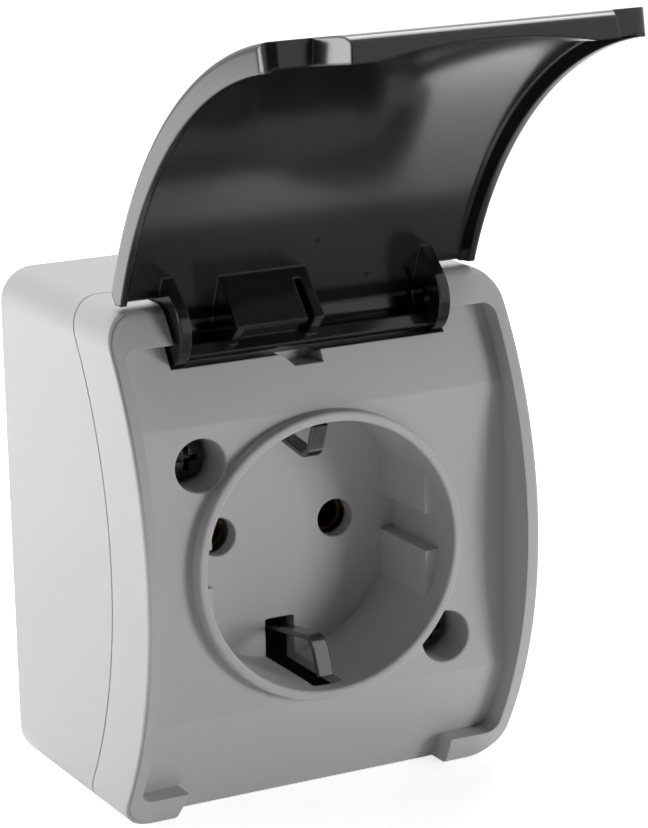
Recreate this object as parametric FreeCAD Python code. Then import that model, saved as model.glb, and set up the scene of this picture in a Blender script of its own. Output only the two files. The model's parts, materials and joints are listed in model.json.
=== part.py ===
import FreeCAD
import Part
import math
import os

os.makedirs("parts", exist_ok=True)

V = FreeCAD.Vector

# The frame, in millimetres. The wall is the plane y = 0 and the front looks along -Y.
# The origin lies on the wall, behind the centre of the plug well. Z is up.

# Overall form
WIDTH = 61.6
HEIGHT = 74.4
DEPTH = 47.8
CORNER_R = 5.0
INNER_CORNER_R = 0.8
BOW_R = 61.0
SKIRT = 11.7
WALL = 2.0
TOP_ROUND = 3.5
RAIL_EDGE_R = 0.7

# Front cover
PANEL_STEP = 3.0
PANEL_FLAT_DEPTH = 6.9
PANEL_T = 2.0
ARM_HEIGHT = 4.9
EAR_HEIGHT = 4.7
ARM_W = 9.4
EAR_W = 9.6
EAR_SLANT = 0.7
RECESS_CORNER_R = 1.8
COLLAR_WALL = 1.45
COLLAR_PROUD = 2.2

# Plug well
WELL_R = 19.45
WELL_MOUTH = 2.7
WELL_LEAD = 0.9
WELL_TAPER = 0.25
WELL_DEPTH = 17.5
WELL_FLOOR_T = 2.5
PIN_PITCH = 19.0
PIN_HOLE_R = 2.83
GUIDE_RISE = 2.55
GUIDE_START = 4.0
GUIDE_GROOVE = 5.5
GUIDE_SIDE = 0.5
CLIP_SLOT_W = 4.7
CLIP_SLOT_FRONT = 2.7
CLIP_SLOT_REACH = 5.95

# Lid hinge
HINGE_BELOW_TOP = 3.6
CURL_R = 4.6
HINGE_PIN_R = 1.5
HINGE_RUN = 0.05
HINGE_PRESS = 0.01
PIN_PAST_RIB = 0.4
HINGE_PIN_ENGAGE = 4.6
HINGE_BORE_SPARE = 0.6
TROUGH_R = 5.6
TROUGH_WALL = 1.6
NOTCH_LEFT = -4.8
NOTCH_RIGHT = 1.6
NOTCH_SLOPE = 2.0
NOTCH_DEPTH = 1.6

# Lid
LID_OPEN_ANGLE = 128.0
LID_SIDE_GAP = 1.1
LID_PROUD = 2.2
LID_T = 2.0
LID_RIM_T = 1.7
LID_RIM_DEPTH = 3.8
LID_EDGE_R = 0.9
LID_TOP_ROUND = 1.0
LID_ARM_GAP = 0.35
LID_ARM_SWEEP = 0.6
LID_EAR_GAP = 2.4
LIP_ABOVE_BOTTOM = 1.8
LIP_SIDE_GAP = 0.7
LIP_T = 3.4
LIP_SCOOP = 1.4
LIP_SCOOP_HALF = 15.0
RIB_ARM_GAP = 0.4
RIB_R = 5.2
RIB_T = 1.7
RIB_WEB = 7.2
RIB_WEB_TURN = 72.2
RIB_FOOT = 8.0
RIB_KNEE_TURN = 55.0
RIB_KNEE_RISE = 0.4
RIB_END_TURN = 243.0
CURL_END_TURN = -147.0
BLOCK_LEFT = -12.3
BLOCK_RIGHT = 1.1
BLOCK_CHEEK = 1.2
BLOCK_SLOT = 1.1
BLOCK_UNDERCUT = 0.9
BLOCK_LEDGE = 1.1
BLOCK_HEEL = (3.4, 5.0)
BLOCK_HUB = (3.4, -85.0)
BLOCK_DEEP = (7.0, 60.0)
BLOCK_ROOT = (6.5, 69.4)
BLOCK_EDGE = (5.1, 160.8)
BLOCK_TAIL = (4.2, 242.0)
SLOT_BESIDE_CHEEK = 0.3
SLOT_RUN = 6.5
SLOT_OPEN = 1.2
UNDERCUT_RISE = 0.6
UNDERCUT_HEEL = 0.4
TEETH = 14
TOOTH_DEPTH = 0.35
TOOTH_SHARE = 0.6
TOOTH_START = 0.15

# Seam, seal and box
SEAM_GAP = 0.3
SEAM_GROOVE = 0.5
RIM_T = 3.6
RIM_DEPTH = 4.0
SEAL_W = 1.2
SEAL_FROM_SIDE = 2.0
SEAL_DEPTH = 1.2
BACK_WALL = 2.2

# Cover screws
SCREW_X = 19.06
SCREW_OUT = 4.5
RECESS_R = 3.8
RECESS_WALL = 1.4
RECESS_DEPTH = 7.6
RECESS_FLOOR = 2.0
RECESS_TUBE_START = 0.5
TUBE_RELIEF = 0.3
SCREW_HEAD_R = 3.2
SCREW_HEAD_H = 2.2
SCREW_SHANK_R = 1.75
SCREW_LENGTH = 18.0
SCREW_CLEAR = 0.35
SCREW_BORE_SPARE = 0.5
PAN_CROWN = 0.4
CROSS_SPAN = 0.55
CROSS_DEPTH = 0.6
CROSS_BLADE = 0.24
SEAL_WASHER_T = 0.7
SEAL_WASHER_R = 3.5
PILLAR_R = 3.5
PILLAR_GAP = 0.1

# Wall fixing and cable entry
WALL_HOLE_PITCH = 54.0
WALL_HOLE_R = 2.25
ENTRY_R = 6.8
ENTRY_FROM_WALL = 11.0
ENTRY_FLANGE = 1.6
ENTRY_FLANGE_T = 0.9
ENTRY_SEAT_GAP = 0.1
ENTRY_INNER_T = 1.2
ENTRY_WALL = 1.5
MEMBRANE_T = 0.8
MEMBRANE_SET = 0.3
NIPPLE_R = 3.6
NIPPLE_TIP_R = 2.0
NIPPLE_H = 3.5

# Contact carrier
CARRIER_HALF_X = 21.0
CARRIER_IN_WELL = 8.45
CARRIER_CORNER_R = 1.5
CARRIER_FRONT_GAP = 0.3
CARRIER_BACK_GAP = 2.4
EAR_X = 17.0
EAR_OUT = 3.5
EAR_R = 4.0
EAR_T = 3.0
EAR_ROOT = 2.0
POST_R = 3.4
POST_H = 4.5
POCKET_R = 4.2
POCKET_FLOOR = 1.4
CHANNEL_HALF = 3.0
PLATE_DEPTH = 6.4
PLATE_T = 0.8
WIRE_HALF = 2.5
BORE_ROOM = 0.3
DRILL_SPARE = 0.6

# Contacts, strap and terminals
PIN_R = 2.4
SLEEVE_GRIP = 0.05
SLEEVE_T = 0.6
SLEEVE_LENGTH = 11.0
SLEEVE_SLIT = 1.0
SLEEVE_INSET = 1.2
SPRING_T = 0.5
SPRING_W = 2.6
SPRING_GAP = 1.6
SPRING_BEHIND = 1.2
TERMINAL_X = 16.8
TERMINAL_HALF = 3.2
TERMINAL_EDGE = 3.8
CLAMP_HALF = 3.0
CLAMP_T = 1.0
CLAMP_LIP = 0.8
CLAMP_LIP_T = 0.8
WIRE_GAP = 2.0
TERMINAL_SCREW_R = 1.5
TERMINAL_HEAD_R = 2.6
TERMINAL_HEAD_H = 1.8
TERMINAL_THREAD = 3.2
TERMINAL_ROOM = 0.4
STRAP_HALF = 2.5
STRAP_T = 0.8
STRAP_OVERHANG = 1.5
CLIP_HALF = 1.2
CLIP_RISE = 3.15
CLIP_REACH = 5.75
CLIP_INNER_DEPTH = 5.6
CLIP_FRONT_GAP = 1.05
CLIP_FRONT_DEPTH = 3.4
CLIP_BEND_R = 1.4
RIVET_R = 1.2
RIVET_HEAD_R = 2.0
RIVET_HEAD_H = 0.9
RIVET_SUNK = 0.1
RIVET_SINK = 0.2
DRIVER_SLOT = 0.8
CARRIER_SCREW_R = 1.45
CARRIER_SCREW_HEAD_R = 2.9
CARRIER_SCREW_HEAD_H = 1.9
CARRIER_SCREW_GRIP = 5.0
CARRIER_BORE_SPARE = 0.3

# Planes and centres that follow from the sizes above
HALF_W = WIDTH / 2
HALF_H = HEIGHT / 2
FRONT_Y = -DEPTH
BOW_Y = FRONT_Y + BOW_R
SEAM_Y = BOW_Y + SKIRT
PANEL_R = BOW_R - PANEL_STEP
PANEL_FLAT_Y = FRONT_Y + PANEL_FLAT_DEPTH
COLLAR_Y = PANEL_FLAT_Y - COLLAR_PROUD
FLOOR_Y = COLLAR_Y + WELL_DEPTH
FLOOR_BACK_Y = FLOOR_Y + WELL_FLOOR_T
COLLAR_R = WELL_R + COLLAR_WALL
GUIDE_FLAT_X = WELL_R - GUIDE_RISE
ARM_HALF = HALF_W - ARM_W
EAR_HALF = HALF_W - EAR_W
ARM_Z = HALF_H - ARM_HEIGHT
EAR_TOP_Z = EAR_HEIGHT - HALF_H
RECESS_HALF = HALF_W - WALL
LID_R = BOW_R + LID_PROUD
LID_HALF = RECESS_HALF - LID_SIDE_GAP
LID_INNER_R = LID_R - LID_T
LID_SIDE_Z = EAR_TOP_Z + LID_EAR_GAP
LIP_END_Z = LIP_ABOVE_BOTTOM - HALF_H
HINGE_Z = HALF_H - HINGE_BELOW_TOP
HINGE_REACH = LID_R - CURL_R
HINGE_Y = BOW_Y - math.sqrt(HINGE_REACH ** 2 - HINGE_Z ** 2)
HINGE_ANGLE = 180.0 - math.degrees(math.atan2(HINGE_Z, BOW_Y - HINGE_Y))
RIB_HALF = ARM_HALF - RIB_ARM_GAP
SCREW_SEAT_Y = PANEL_FLAT_Y + RECESS_DEPTH
PILLAR_Y = SCREW_SEAT_Y + RECESS_FLOOR + PILLAR_GAP
CARRIER_FRONT_Y = FLOOR_BACK_Y + CARRIER_FRONT_GAP
CARRIER_BACK_Y = -BACK_WALL - CARRIER_BACK_GAP
PLATE_Y = CARRIER_FRONT_Y + PLATE_DEPTH
POST_Y = -BACK_WALL - POST_H
CARRIER_HALF_Z = WELL_R - CARRIER_IN_WELL
EAR_Z = CARRIER_HALF_Z + EAR_OUT
SCREW_Z = CARRIER_HALF_Z + SCREW_OUT
TERMINAL_DROP = CARRIER_HALF_Z - TERMINAL_EDGE
PIN_X = PIN_PITCH / 2
SLEEVE_R = PIN_R - SLEEVE_GRIP
ENTRY_Y = -ENTRY_FROM_WALL
BOTTOM_Z = -HALF_H
CLAMP_Y = PLATE_Y - WIRE_GAP
FAR = 200.0
PAST = 1.0
ROOT = 0.1


# Plain solids

def slab(x0, x1, y0, y1, z0, z1):
    return Part.makeBox(x1 - x0, y1 - y0, z1 - z0, V(x0, y0, z0))


def rod_x(radius, y, z, x0, x1):
    return Part.makeCylinder(radius, x1 - x0, V(x0, y, z), V(1, 0, 0))


def rod_y(radius, x, z, y0, y1):
    return Part.makeCylinder(radius, y1 - y0, V(x, y0, z), V(0, 1, 0))


def rod_z(radius, x, y, z0, z1):
    return Part.makeCylinder(radius, z1 - z0, V(x, y, z0), V(0, 0, 1))


def union(shapes):
    joined = shapes[0].fuse(shapes[1:])
    return joined.removeSplitter()


def outline(corners, place):
    """Closed wire through corners (u, v, radius), each corner rounded by a tangent arc."""
    spans = []
    for index, (u, v, radius) in enumerate(corners):
        here = V(u, v, 0)
        if radius == 0:
            spans.append((here, here, here))
            continue
        last = corners[index - 1]
        following = corners[(index + 1) % len(corners)]
        back = (V(last[0], last[1], 0) - here).normalize()
        ahead = (V(following[0], following[1], 0) - here).normalize()
        half = back.getAngle(ahead) / 2
        middle = (back + ahead).normalize()
        centre = here + middle * (radius / math.sin(half))
        run = radius / math.tan(half)
        spans.append((here + back * run, centre - middle * radius, here + ahead * run))
    edges = []
    for index, (entry, peak, leave) in enumerate(spans):
        if (entry - leave).Length > 1e-6:
            edges.append(Part.Arc(place(entry), place(peak), place(leave)).toShape())
        onward = spans[(index + 1) % len(spans)][0]
        if (onward - leave).Length > 1e-6:
            edges.append(Part.LineSegment(place(leave), place(onward)).toShape())
    return Part.Wire(edges)


def prism_y(corners, y0, y1):
    wire = outline(corners, lambda p: V(p.x, y0, p.y))
    return Part.Face(wire).extrude(V(0, y1 - y0, 0))


def prism_x(corners, x0, x1):
    wire = outline(corners, lambda p: V(x0, p.x, p.y))
    return Part.Face(wire).extrude(V(x1 - x0, 0, 0))


def sharp(points):
    return [(u, v, 0) for u, v in points]


def box_outline(inset, y0, y1):
    """The rounded rectangle of the housing, drawn in by inset."""
    w = HALF_W - inset
    h = HALF_H - inset
    r = max(CORNER_R - inset, INNER_CORNER_R)
    return prism_y([(-w, -h, r), (w, -h, r), (w, h, r), (-w, h, r)], y0, y1)


def turned(corners, centre_y, centre_z, start, stop):
    """Section (x, r) turned about the X line through the centre; angle 180 faces the front."""
    wire = outline(corners, lambda p: V(p.x, centre_y + p.y, centre_z))
    face = Part.Face(wire)
    pivot = V(0, centre_y, centre_z)
    face.rotate(pivot, V(1, 0, 0), start)
    return face.revolve(pivot, V(1, 0, 0), stop - start)


def at_angle(centre_y, centre_z, radius, angle):
    a = math.radians(angle)
    return (centre_y + radius * math.cos(a), centre_z + radius * math.sin(a))


def arc_corner(arc_r, plane_z, radius, half_width):
    """What a rounding takes off between the arc about the bow centre and the plane z."""
    centre_z = plane_z - radius
    centre_y = BOW_Y - math.sqrt((arc_r - radius) ** 2 - centre_z ** 2)
    out = V(0, centre_y - BOW_Y, centre_z).normalize()
    reach = 4 * radius
    corner = prism_x(sharp([
        (centre_y, centre_z),
        (centre_y + reach * out.y, centre_z + reach * out.z),
        (centre_y + reach * out.y, centre_z + reach * (1 + out.z)),
        (centre_y, centre_z + reach)]), -half_width, half_width)
    return corner.cut(rod_x(radius, centre_y, centre_z, -half_width, half_width))


# Front cover

def bowed_block():
    """The cover's outer form, from the bowed front back to the wall plane."""
    wheel = turned([(-HALF_W, 0, 0), (-HALF_W, BOW_R, RAIL_EDGE_R),
                    (HALF_W, BOW_R, RAIL_EDGE_R), (HALF_W, 0, 0)], BOW_Y, 0, 90, 270)
    block = box_outline(0, FRONT_Y - PAST, 0).common(wheel)
    return block.cut(arc_corner(BOW_R, HALF_H, TOP_ROUND, HALF_W + PAST))


def panel_form(step):
    """All that lies behind the panel's front, or behind a surface a step further back."""
    radius = PANEL_R - step
    arc = rod_x(radius, BOW_Y, 0, -HALF_W, HALF_W)
    behind = slab(-HALF_W, HALF_W, PANEL_FLAT_Y + step, FAR, -FAR, FAR)
    return arc.common(behind)


def recess_cutter():
    """The front opening between rails, arms and ears, as deep as the panel."""
    reach = HALF_H + EAR_HEIGHT
    foot = EAR_HALF + 2 * EAR_SLANT
    corners = [
        (-RECESS_HALF, ARM_Z, RECESS_CORNER_R),
        (-ARM_HALF, ARM_Z, 0),
        (-ARM_HALF, reach, 0),
        (ARM_HALF, reach, 0),
        (ARM_HALF, ARM_Z, 0),
        (RECESS_HALF, ARM_Z, RECESS_CORNER_R),
        (RECESS_HALF, EAR_TOP_Z, RECESS_CORNER_R),
        (EAR_HALF, EAR_TOP_Z, 0),
        (foot, -reach, 0),
        (-foot, -reach, 0),
        (-EAR_HALF, EAR_TOP_Z, 0),
        (-RECESS_HALF, EAR_TOP_Z, RECESS_CORNER_R)]
    return prism_y(corners, FRONT_Y - PAST, -PAST).cut(panel_form(0))


def trough_cutter():
    return rod_x(TROUGH_R, HINGE_Y, HINGE_Z, -ARM_HALF, ARM_HALF)


def at_hinge(reach, turn):
    """A point about the hinge line; turn 0 points away from the bow's centre, 90 downwards."""
    return at_angle(HINGE_Y, HINGE_Z, reach, HINGE_ANGLE + turn)


def lip_notch():
    """A shallow dip in the edge where the hinge trough breaks through the panel."""
    share = (TROUGH_R ** 2 + HINGE_REACH ** 2 - PANEL_R ** 2) / (2 * TROUGH_R * HINGE_REACH)
    lip_z = at_hinge(TROUGH_R, 180 - math.degrees(math.acos(share)))[1]
    low = lip_z - NOTCH_DEPTH
    points = [(NOTCH_LEFT, lip_z), (NOTCH_LEFT + NOTCH_SLOPE, low),
              (NOTCH_RIGHT, low), (NOTCH_RIGHT, lip_z)]
    return prism_y(sharp(points), FRONT_Y, HINGE_Y + PAST)


def screw_places():
    return [(-SCREW_X, SCREW_Z), (SCREW_X, -SCREW_Z)]


def well_cutter():
    """The round mouth, its lead-in and the slightly narrower well with its guide flats."""
    guide_y = COLLAR_Y + GUIDE_START
    mouth_y = COLLAR_Y + WELL_MOUTH
    mouth = rod_y(WELL_R, 0, 0, COLLAR_Y - PAST, mouth_y)
    lead = Part.makeCone(WELL_R, WELL_R - WELL_TAPER, WELL_LEAD, V(0, mouth_y, 0), V(0, 1, 0))
    well = rod_y(WELL_R - WELL_TAPER, 0, 0, mouth_y, FLOOR_Y)
    chord_z = math.sqrt(WELL_R ** 2 - GUIDE_FLAT_X ** 2) + GUIDE_SIDE
    groove = GUIDE_GROOVE / 2
    for side in (-1, 1):
        x0, x1 = sorted([side * GUIDE_FLAT_X, side * (WELL_R + PAST)])
        for z0, z1 in ((-chord_z, -groove), (groove, chord_z)):
            well = well.cut(slab(x0, x1, guide_y, FLOOR_Y + PAST, z0, z1))
    return union([mouth, lead, well])


def clip_slots():
    """Slots for the earth clips, open through the wall behind the panel."""
    half = CLIP_SLOT_W / 2
    inner = WELL_R - CLIP_SLOT_REACH
    front = COLLAR_Y + CLIP_SLOT_FRONT
    behind = PANEL_FLAT_Y + PANEL_T + ROOT
    shapes = []
    for side in (-1, 1):
        z0, z1 = sorted([side * inner, side * (WELL_R + COLLAR_WALL / 2)])
        shapes.append(slab(-half, half, front, FLOOR_BACK_Y + PAST, z0, z1))
        z0, z1 = sorted([side * inner, side * (COLLAR_R + PAST)])
        shapes.append(slab(-half, half, behind, FLOOR_BACK_Y + PAST, z0, z1))
    return union(shapes)


def rim_ring(outer_inset, inner_inset):
    outer = box_outline(outer_inset, FRONT_Y, 0)
    return outer.cut(box_outline(inner_inset, FRONT_Y - PAST, PAST))


def seam_form(shift):
    """All that lies behind the seam surface, moved back by shift."""
    return rod_x(BOW_R, SEAM_Y + shift, 0, -HALF_W - PAST, HALF_W + PAST)


def seal_ring():
    """The cord seal, pressed flat in its groove in the box's front edge."""
    ring = rim_ring(SEAL_FROM_SIDE - SEAL_W / 2, SEAL_FROM_SIDE + SEAL_W / 2)
    return ring.common(seam_form(0)).cut(seam_form(SEAL_DEPTH))


def entry_cutters():
    """Room for the cable seal: its outer flange, its neck and its inner flange."""
    inside_z = BOTTOM_Z + WALL
    seat_z = BOTTOM_Z + ENTRY_FLANGE_T + ENTRY_SEAT_GAP
    wide = ENTRY_R + ENTRY_FLANGE
    return [rod_z(wide, 0, ENTRY_Y, BOTTOM_Z - PAST, seat_z),
            rod_z(ENTRY_R, 0, ENTRY_Y, BOTTOM_Z - PAST, inside_z + PAST),
            rod_z(wide, 0, ENTRY_Y, inside_z, inside_z + ENTRY_INNER_T + PAST)]


def front_cover():
    block = bowed_block().cut(seam_form(0))
    solid = block.cut([recess_cutter(), trough_cutter(), lip_notch()])
    cavity = box_outline(WALL, FRONT_Y, 0).common(panel_form(PANEL_T))
    cavity = cavity.cut(rod_x(TROUGH_R + TROUGH_WALL, HINGE_Y, HINGE_Z, -HALF_W, HALF_W))
    rim = rim_ring(WALL, RIM_T).cut(seam_form(0))
    keep = [rod_y(COLLAR_R, 0, 0, COLLAR_Y, FLOOR_BACK_Y)]
    for x, z in screw_places():
        tube = rod_y(RECESS_R + RECESS_WALL, x, z, PANEL_FLAT_Y + RECESS_TUBE_START,
                     SCREW_SEAT_Y + RECESS_FLOOR)
        keep.append(tube.cut(seal_ring()))
    shell = solid.cut(cavity.cut(rim))
    shell = union([shell] + keep)
    for x, z in screw_places():
        shell = shell.cut(rod_y(RECESS_R, x, z, FRONT_Y, SCREW_SEAT_Y))
        shell = shell.cut(rod_y(SCREW_SHANK_R + SCREW_CLEAR, x, z, FRONT_Y, 0))
    shell = shell.cut(well_cutter())
    shell = shell.cut(clip_slots())
    for side in (-1, 1):
        shell = shell.cut(rod_y(PIN_HOLE_R, side * PIN_X, 0, FLOOR_Y - PAST, FLOOR_BACK_Y + PAST))
        bore_end = ARM_HALF + HINGE_PIN_ENGAGE + HINGE_BORE_SPARE
        x0, x1 = sorted([side * (ARM_HALF - PAST), side * bore_end])
        shell = shell.cut(rod_x(HINGE_PIN_R + HINGE_RUN, HINGE_Y, HINGE_Z, x0, x1))
    return shell.cut(entry_cutters()).removeSplitter()


# Lid, drawn closed and then swung open

def lid_section():
    inner = LID_HALF - LID_RIM_T
    rim_r = LID_R - LID_RIM_DEPTH
    return [(-LID_HALF, rim_r, 0), (-LID_HALF, LID_R, LID_EDGE_R), (LID_HALF, LID_R, LID_EDGE_R),
            (LID_HALF, rim_r, 0), (inner, rim_r, 0), (inner, LID_INNER_R, 0),
            (-inner, LID_INNER_R, 0), (-inner, rim_r, 0)]


def plain_section(half, r0, r1, edge):
    return [(-half, r0, 0), (-half, r1, edge), (half, r1, edge), (half, r0, 0)]


def bow_angle(radius, z):
    """The angle at which the arc about the bow centre has height z, on the front side."""
    return 180.0 - math.degrees(math.asin(z / radius))


def lid_tray():
    """The bowed plate with its rims, cut off level below the arms."""
    top_z = ARM_Z - LID_ARM_GAP
    end = bow_angle(LID_R, LID_SIDE_Z)
    lip_end = bow_angle(LID_R, LIP_END_Z)
    run_on = math.degrees(LID_T / LID_R)
    tray = turned(lid_section(), BOW_Y, 0, HINGE_ANGLE - run_on, end)
    tray = tray.cut(slab(-FAR, FAR, -FAR, FAR, top_z, FAR))
    tray = tray.cut(arc_corner(LID_R, top_z, LID_TOP_ROUND, HALF_W))
    for side in (-1, 1):
        x0, x1 = sorted([side * RIB_HALF, side * (LID_HALF + PAST)])
        tray = tray.cut(rod_x(HINGE_BELOW_TOP + LID_ARM_SWEEP, HINGE_Y, HINGE_Z, x0, x1))
    wall_r = LID_R - LIP_T
    rim_angle = math.degrees(LID_RIM_T / LID_R)
    end_wall = turned(plain_section(LID_HALF, wall_r, LID_R, LID_EDGE_R), BOW_Y, 0,
                      end - rim_angle, end)
    lip_half = EAR_HALF - LIP_SIDE_GAP
    lip = turned(plain_section(lip_half, wall_r, LID_R, 0), BOW_Y, 0, end - rim_angle / 2,
                 lip_end + run_on)
    lip = lip.cut(slab(-FAR, FAR, -FAR, FAR, -FAR, LIP_END_Z))
    return union([tray, end_wall, lip]).cut(lip_scoop(end, lip_end))


def lip_scoop(end, lip_end):
    """A wide shallow arch under the lip, for a fingertip."""
    radius = (LIP_SCOOP_HALF ** 2 + LIP_SCOOP ** 2) / (2 * LIP_SCOOP)
    angle = (end + lip_end) / 2
    length = 2 * math.radians(lip_end - end) * LID_R
    y, z = at_angle(BOW_Y, 0, LID_R - LIP_T + LIP_SCOOP - radius, angle)
    along = math.radians(angle + 90)
    axis = V(0, math.cos(along), math.sin(along))
    return Part.makeCylinder(radius, length, V(0, y, z) - axis * (length / 2), axis)


def lid_curl():
    """The middle of the plate runs on and curls round the hinge line."""
    start = bow_angle(LID_R, ARM_Z - LID_ARM_GAP - LID_TOP_ROUND)
    overlap = math.degrees(LID_TOP_ROUND / LID_R)
    bridge = turned(plain_section(RIB_HALF, LID_INNER_R, LID_R, 0), BOW_Y, 0, HINGE_ANGLE,
                    start + overlap)
    curl = turned(plain_section(RIB_HALF, CURL_R - LID_T, CURL_R, 0), HINGE_Y, HINGE_Z,
                  HINGE_ANGLE + CURL_END_TURN, HINGE_ANGLE)
    return [bridge, curl]


def lid_ribs():
    """Two hinge ribs: a disc round the hinge line with a web to the plate."""
    centre = (HINGE_Y, HINGE_Z)
    web = at_hinge(RIB_WEB, RIB_WEB_TURN)
    foot = at_hinge(RIB_FOOT, RIB_WEB_TURN)
    touch_turn = RIB_WEB_TURN + math.degrees(math.acos(RIB_R / RIB_WEB))
    touch = at_hinge(RIB_R, touch_turn)
    knee = at_hinge(CURL_R + RIB_KNEE_RISE, RIB_KNEE_TURN)
    ribs = []
    for side in (-1, 1):
        x0, x1 = sorted([side * RIB_HALF, side * (RIB_HALF - RIB_T)])
        disc = turned(sharp([(x0, 0), (x0, RIB_R), (x1, RIB_R), (x1, 0)]), HINGE_Y, HINGE_Z,
                      HINGE_ANGLE + touch_turn, HINGE_ANGLE + RIB_END_TURN)
        hub = rod_x(CURL_R - LID_T / 2, HINGE_Y, HINGE_Z, x0, x1)
        lower = prism_x(sharp([centre, web, touch]), x0, x1)
        upper = prism_x(sharp([centre, knee, foot]), x0, x1)
        ribs += [disc, hub, lower, upper]
    return ribs


def block_tools(edge, root, tail, plate_right, slot_right):
    """The slot beside the sloping plate, the undercut behind its ledge and the grooves."""
    ahead = V(0, tail[0] - edge[0], tail[1] - edge[1]).normalize()
    inward = V(0, root[0] - edge[0], root[1] - edge[1]).normalize()
    corner = V(0, edge[0], edge[1])
    mouth = corner - inward * SLOT_OPEN
    run = corner + inward * SLOT_RUN
    slot = prism_x(sharp([(mouth.y, mouth.z), (run.y, run.z), (run.y, run.z + LID_T),
                          (tail[0] + PAST, tail[1] - PAST)]), plate_right, slot_right)
    start = corner + ahead * BLOCK_LEDGE
    stop = V(0, tail[0], tail[1]) - ahead * UNDERCUT_HEEL
    deep = inward * BLOCK_UNDERCUT
    left = BLOCK_LEFT + BLOCK_CHEEK
    undercut = prism_x(sharp([
        (start.y + PAST, start.z - PAST), (start.y, start.z),
        (start.y + deep.y, start.z + deep.z + UNDERCUT_RISE),
        (stop.y + deep.y, stop.z), (stop.y, stop.z), (stop.y + PAST, stop.z)]), left, plate_right)
    pitch = (plate_right - left) / TEETH
    half = V(pitch * TOOTH_SHARE / 2, 0, 0)
    tools = [slot, undercut]
    for index in range(TEETH):
        foot = V(left + (index + 0.5) * pitch, edge[0], edge[1]) + ahead * TOOTH_START
        wire = Part.makePolygon([foot - half, foot + half, foot + inward * TOOTH_DEPTH, foot - half])
        tools.append(Part.Face(wire).extrude(ahead * (BLOCK_LEDGE + TOOTH_START)))
    return tools


def lid_block():
    """The off-centre catch block: a sloping plate between two cheeks, toothed below its edge."""
    points = [at_hinge(*place) for place in (BLOCK_DEEP, BLOCK_ROOT, BLOCK_EDGE, BLOCK_TAIL,
                                             BLOCK_HUB, BLOCK_HEEL)]
    body = prism_x(sharp(points), BLOCK_LEFT, BLOCK_RIGHT)
    slot_right = BLOCK_RIGHT - BLOCK_CHEEK - SLOT_BESIDE_CHEEK
    plate_right = slot_right - BLOCK_SLOT
    root, edge, tail = points[1:4]
    return body.cut(block_tools(edge, root, tail, plate_right, slot_right))


def lid():
    """The whole moulding, drawn closed and then swung open."""
    shape = union([lid_tray()] + lid_curl() + lid_ribs() + [lid_block()])
    for side in (-1, 1):
        x0, x1 = sorted([side * (RIB_HALF + PAST), side * (RIB_HALF - RIB_T - PAST)])
        shape = shape.cut(rod_x(HINGE_PIN_R + HINGE_PRESS, HINGE_Y, HINGE_Z, x0, x1))
    shape = shape.removeSplitter()
    shape.rotate(V(0, HINGE_Y, HINGE_Z), V(1, 0, 0), -LID_OPEN_ANGLE)
    return shape


def hinge_pin(side):
    inner = RIB_HALF - RIB_T - PIN_PAST_RIB
    x0, x1 = sorted([side * inner, side * (ARM_HALF + HINGE_PIN_ENGAGE)])
    return rod_x(HINGE_PIN_R, HINGE_Y, HINGE_Z, x0, x1)


# Back box

def back_box():
    body = box_outline(0, FRONT_Y, 0).common(seam_form(0))
    groove = rim_ring(0, SEAM_GROOVE).cut(seam_form(SEAM_GAP))
    body = body.cut(groove)
    cavity = box_outline(WALL, FRONT_Y - PAST, -BACK_WALL)
    rim = rim_ring(WALL, RIM_T).cut(seam_form(RIM_DEPTH))
    body = body.cut(cavity.cut(rim)).cut(seal_ring())
    tube_r = RECESS_R + RECESS_WALL + TUBE_RELIEF
    for x, z in screw_places():
        body = body.cut(rod_y(tube_r, x, z, FRONT_Y, PILLAR_Y))
    keep = []
    for x, z in screw_places():
        keep.append(rod_y(PILLAR_R, x, z, PILLAR_Y, -BACK_WALL / 2))
    for x, z in carrier_ears():
        keep.append(rod_y(POST_R, x, z, POST_Y, -BACK_WALL / 2))
    body = union([body] + keep)
    for x, z in screw_places():
        depth = SCREW_SEAT_Y - SEAL_WASHER_T + SCREW_LENGTH
        body = body.cut(rod_y(SCREW_SHANK_R, x, z, FRONT_Y, depth + SCREW_BORE_SPARE))
    for x, z in carrier_ears():
        end = POST_Y + CARRIER_SCREW_GRIP + CARRIER_BORE_SPARE
        body = body.cut(rod_y(CARRIER_SCREW_R, x, z, FRONT_Y, end))
    for z in (-WALL_HOLE_PITCH / 2, WALL_HOLE_PITCH / 2):
        body = body.cut(rod_y(WALL_HOLE_R, 0, z, FRONT_Y, PAST))
    return body.cut(entry_cutters()).removeSplitter()


def carrier_ears():
    return [(EAR_X, EAR_Z), (-EAR_X, -EAR_Z)]


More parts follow.
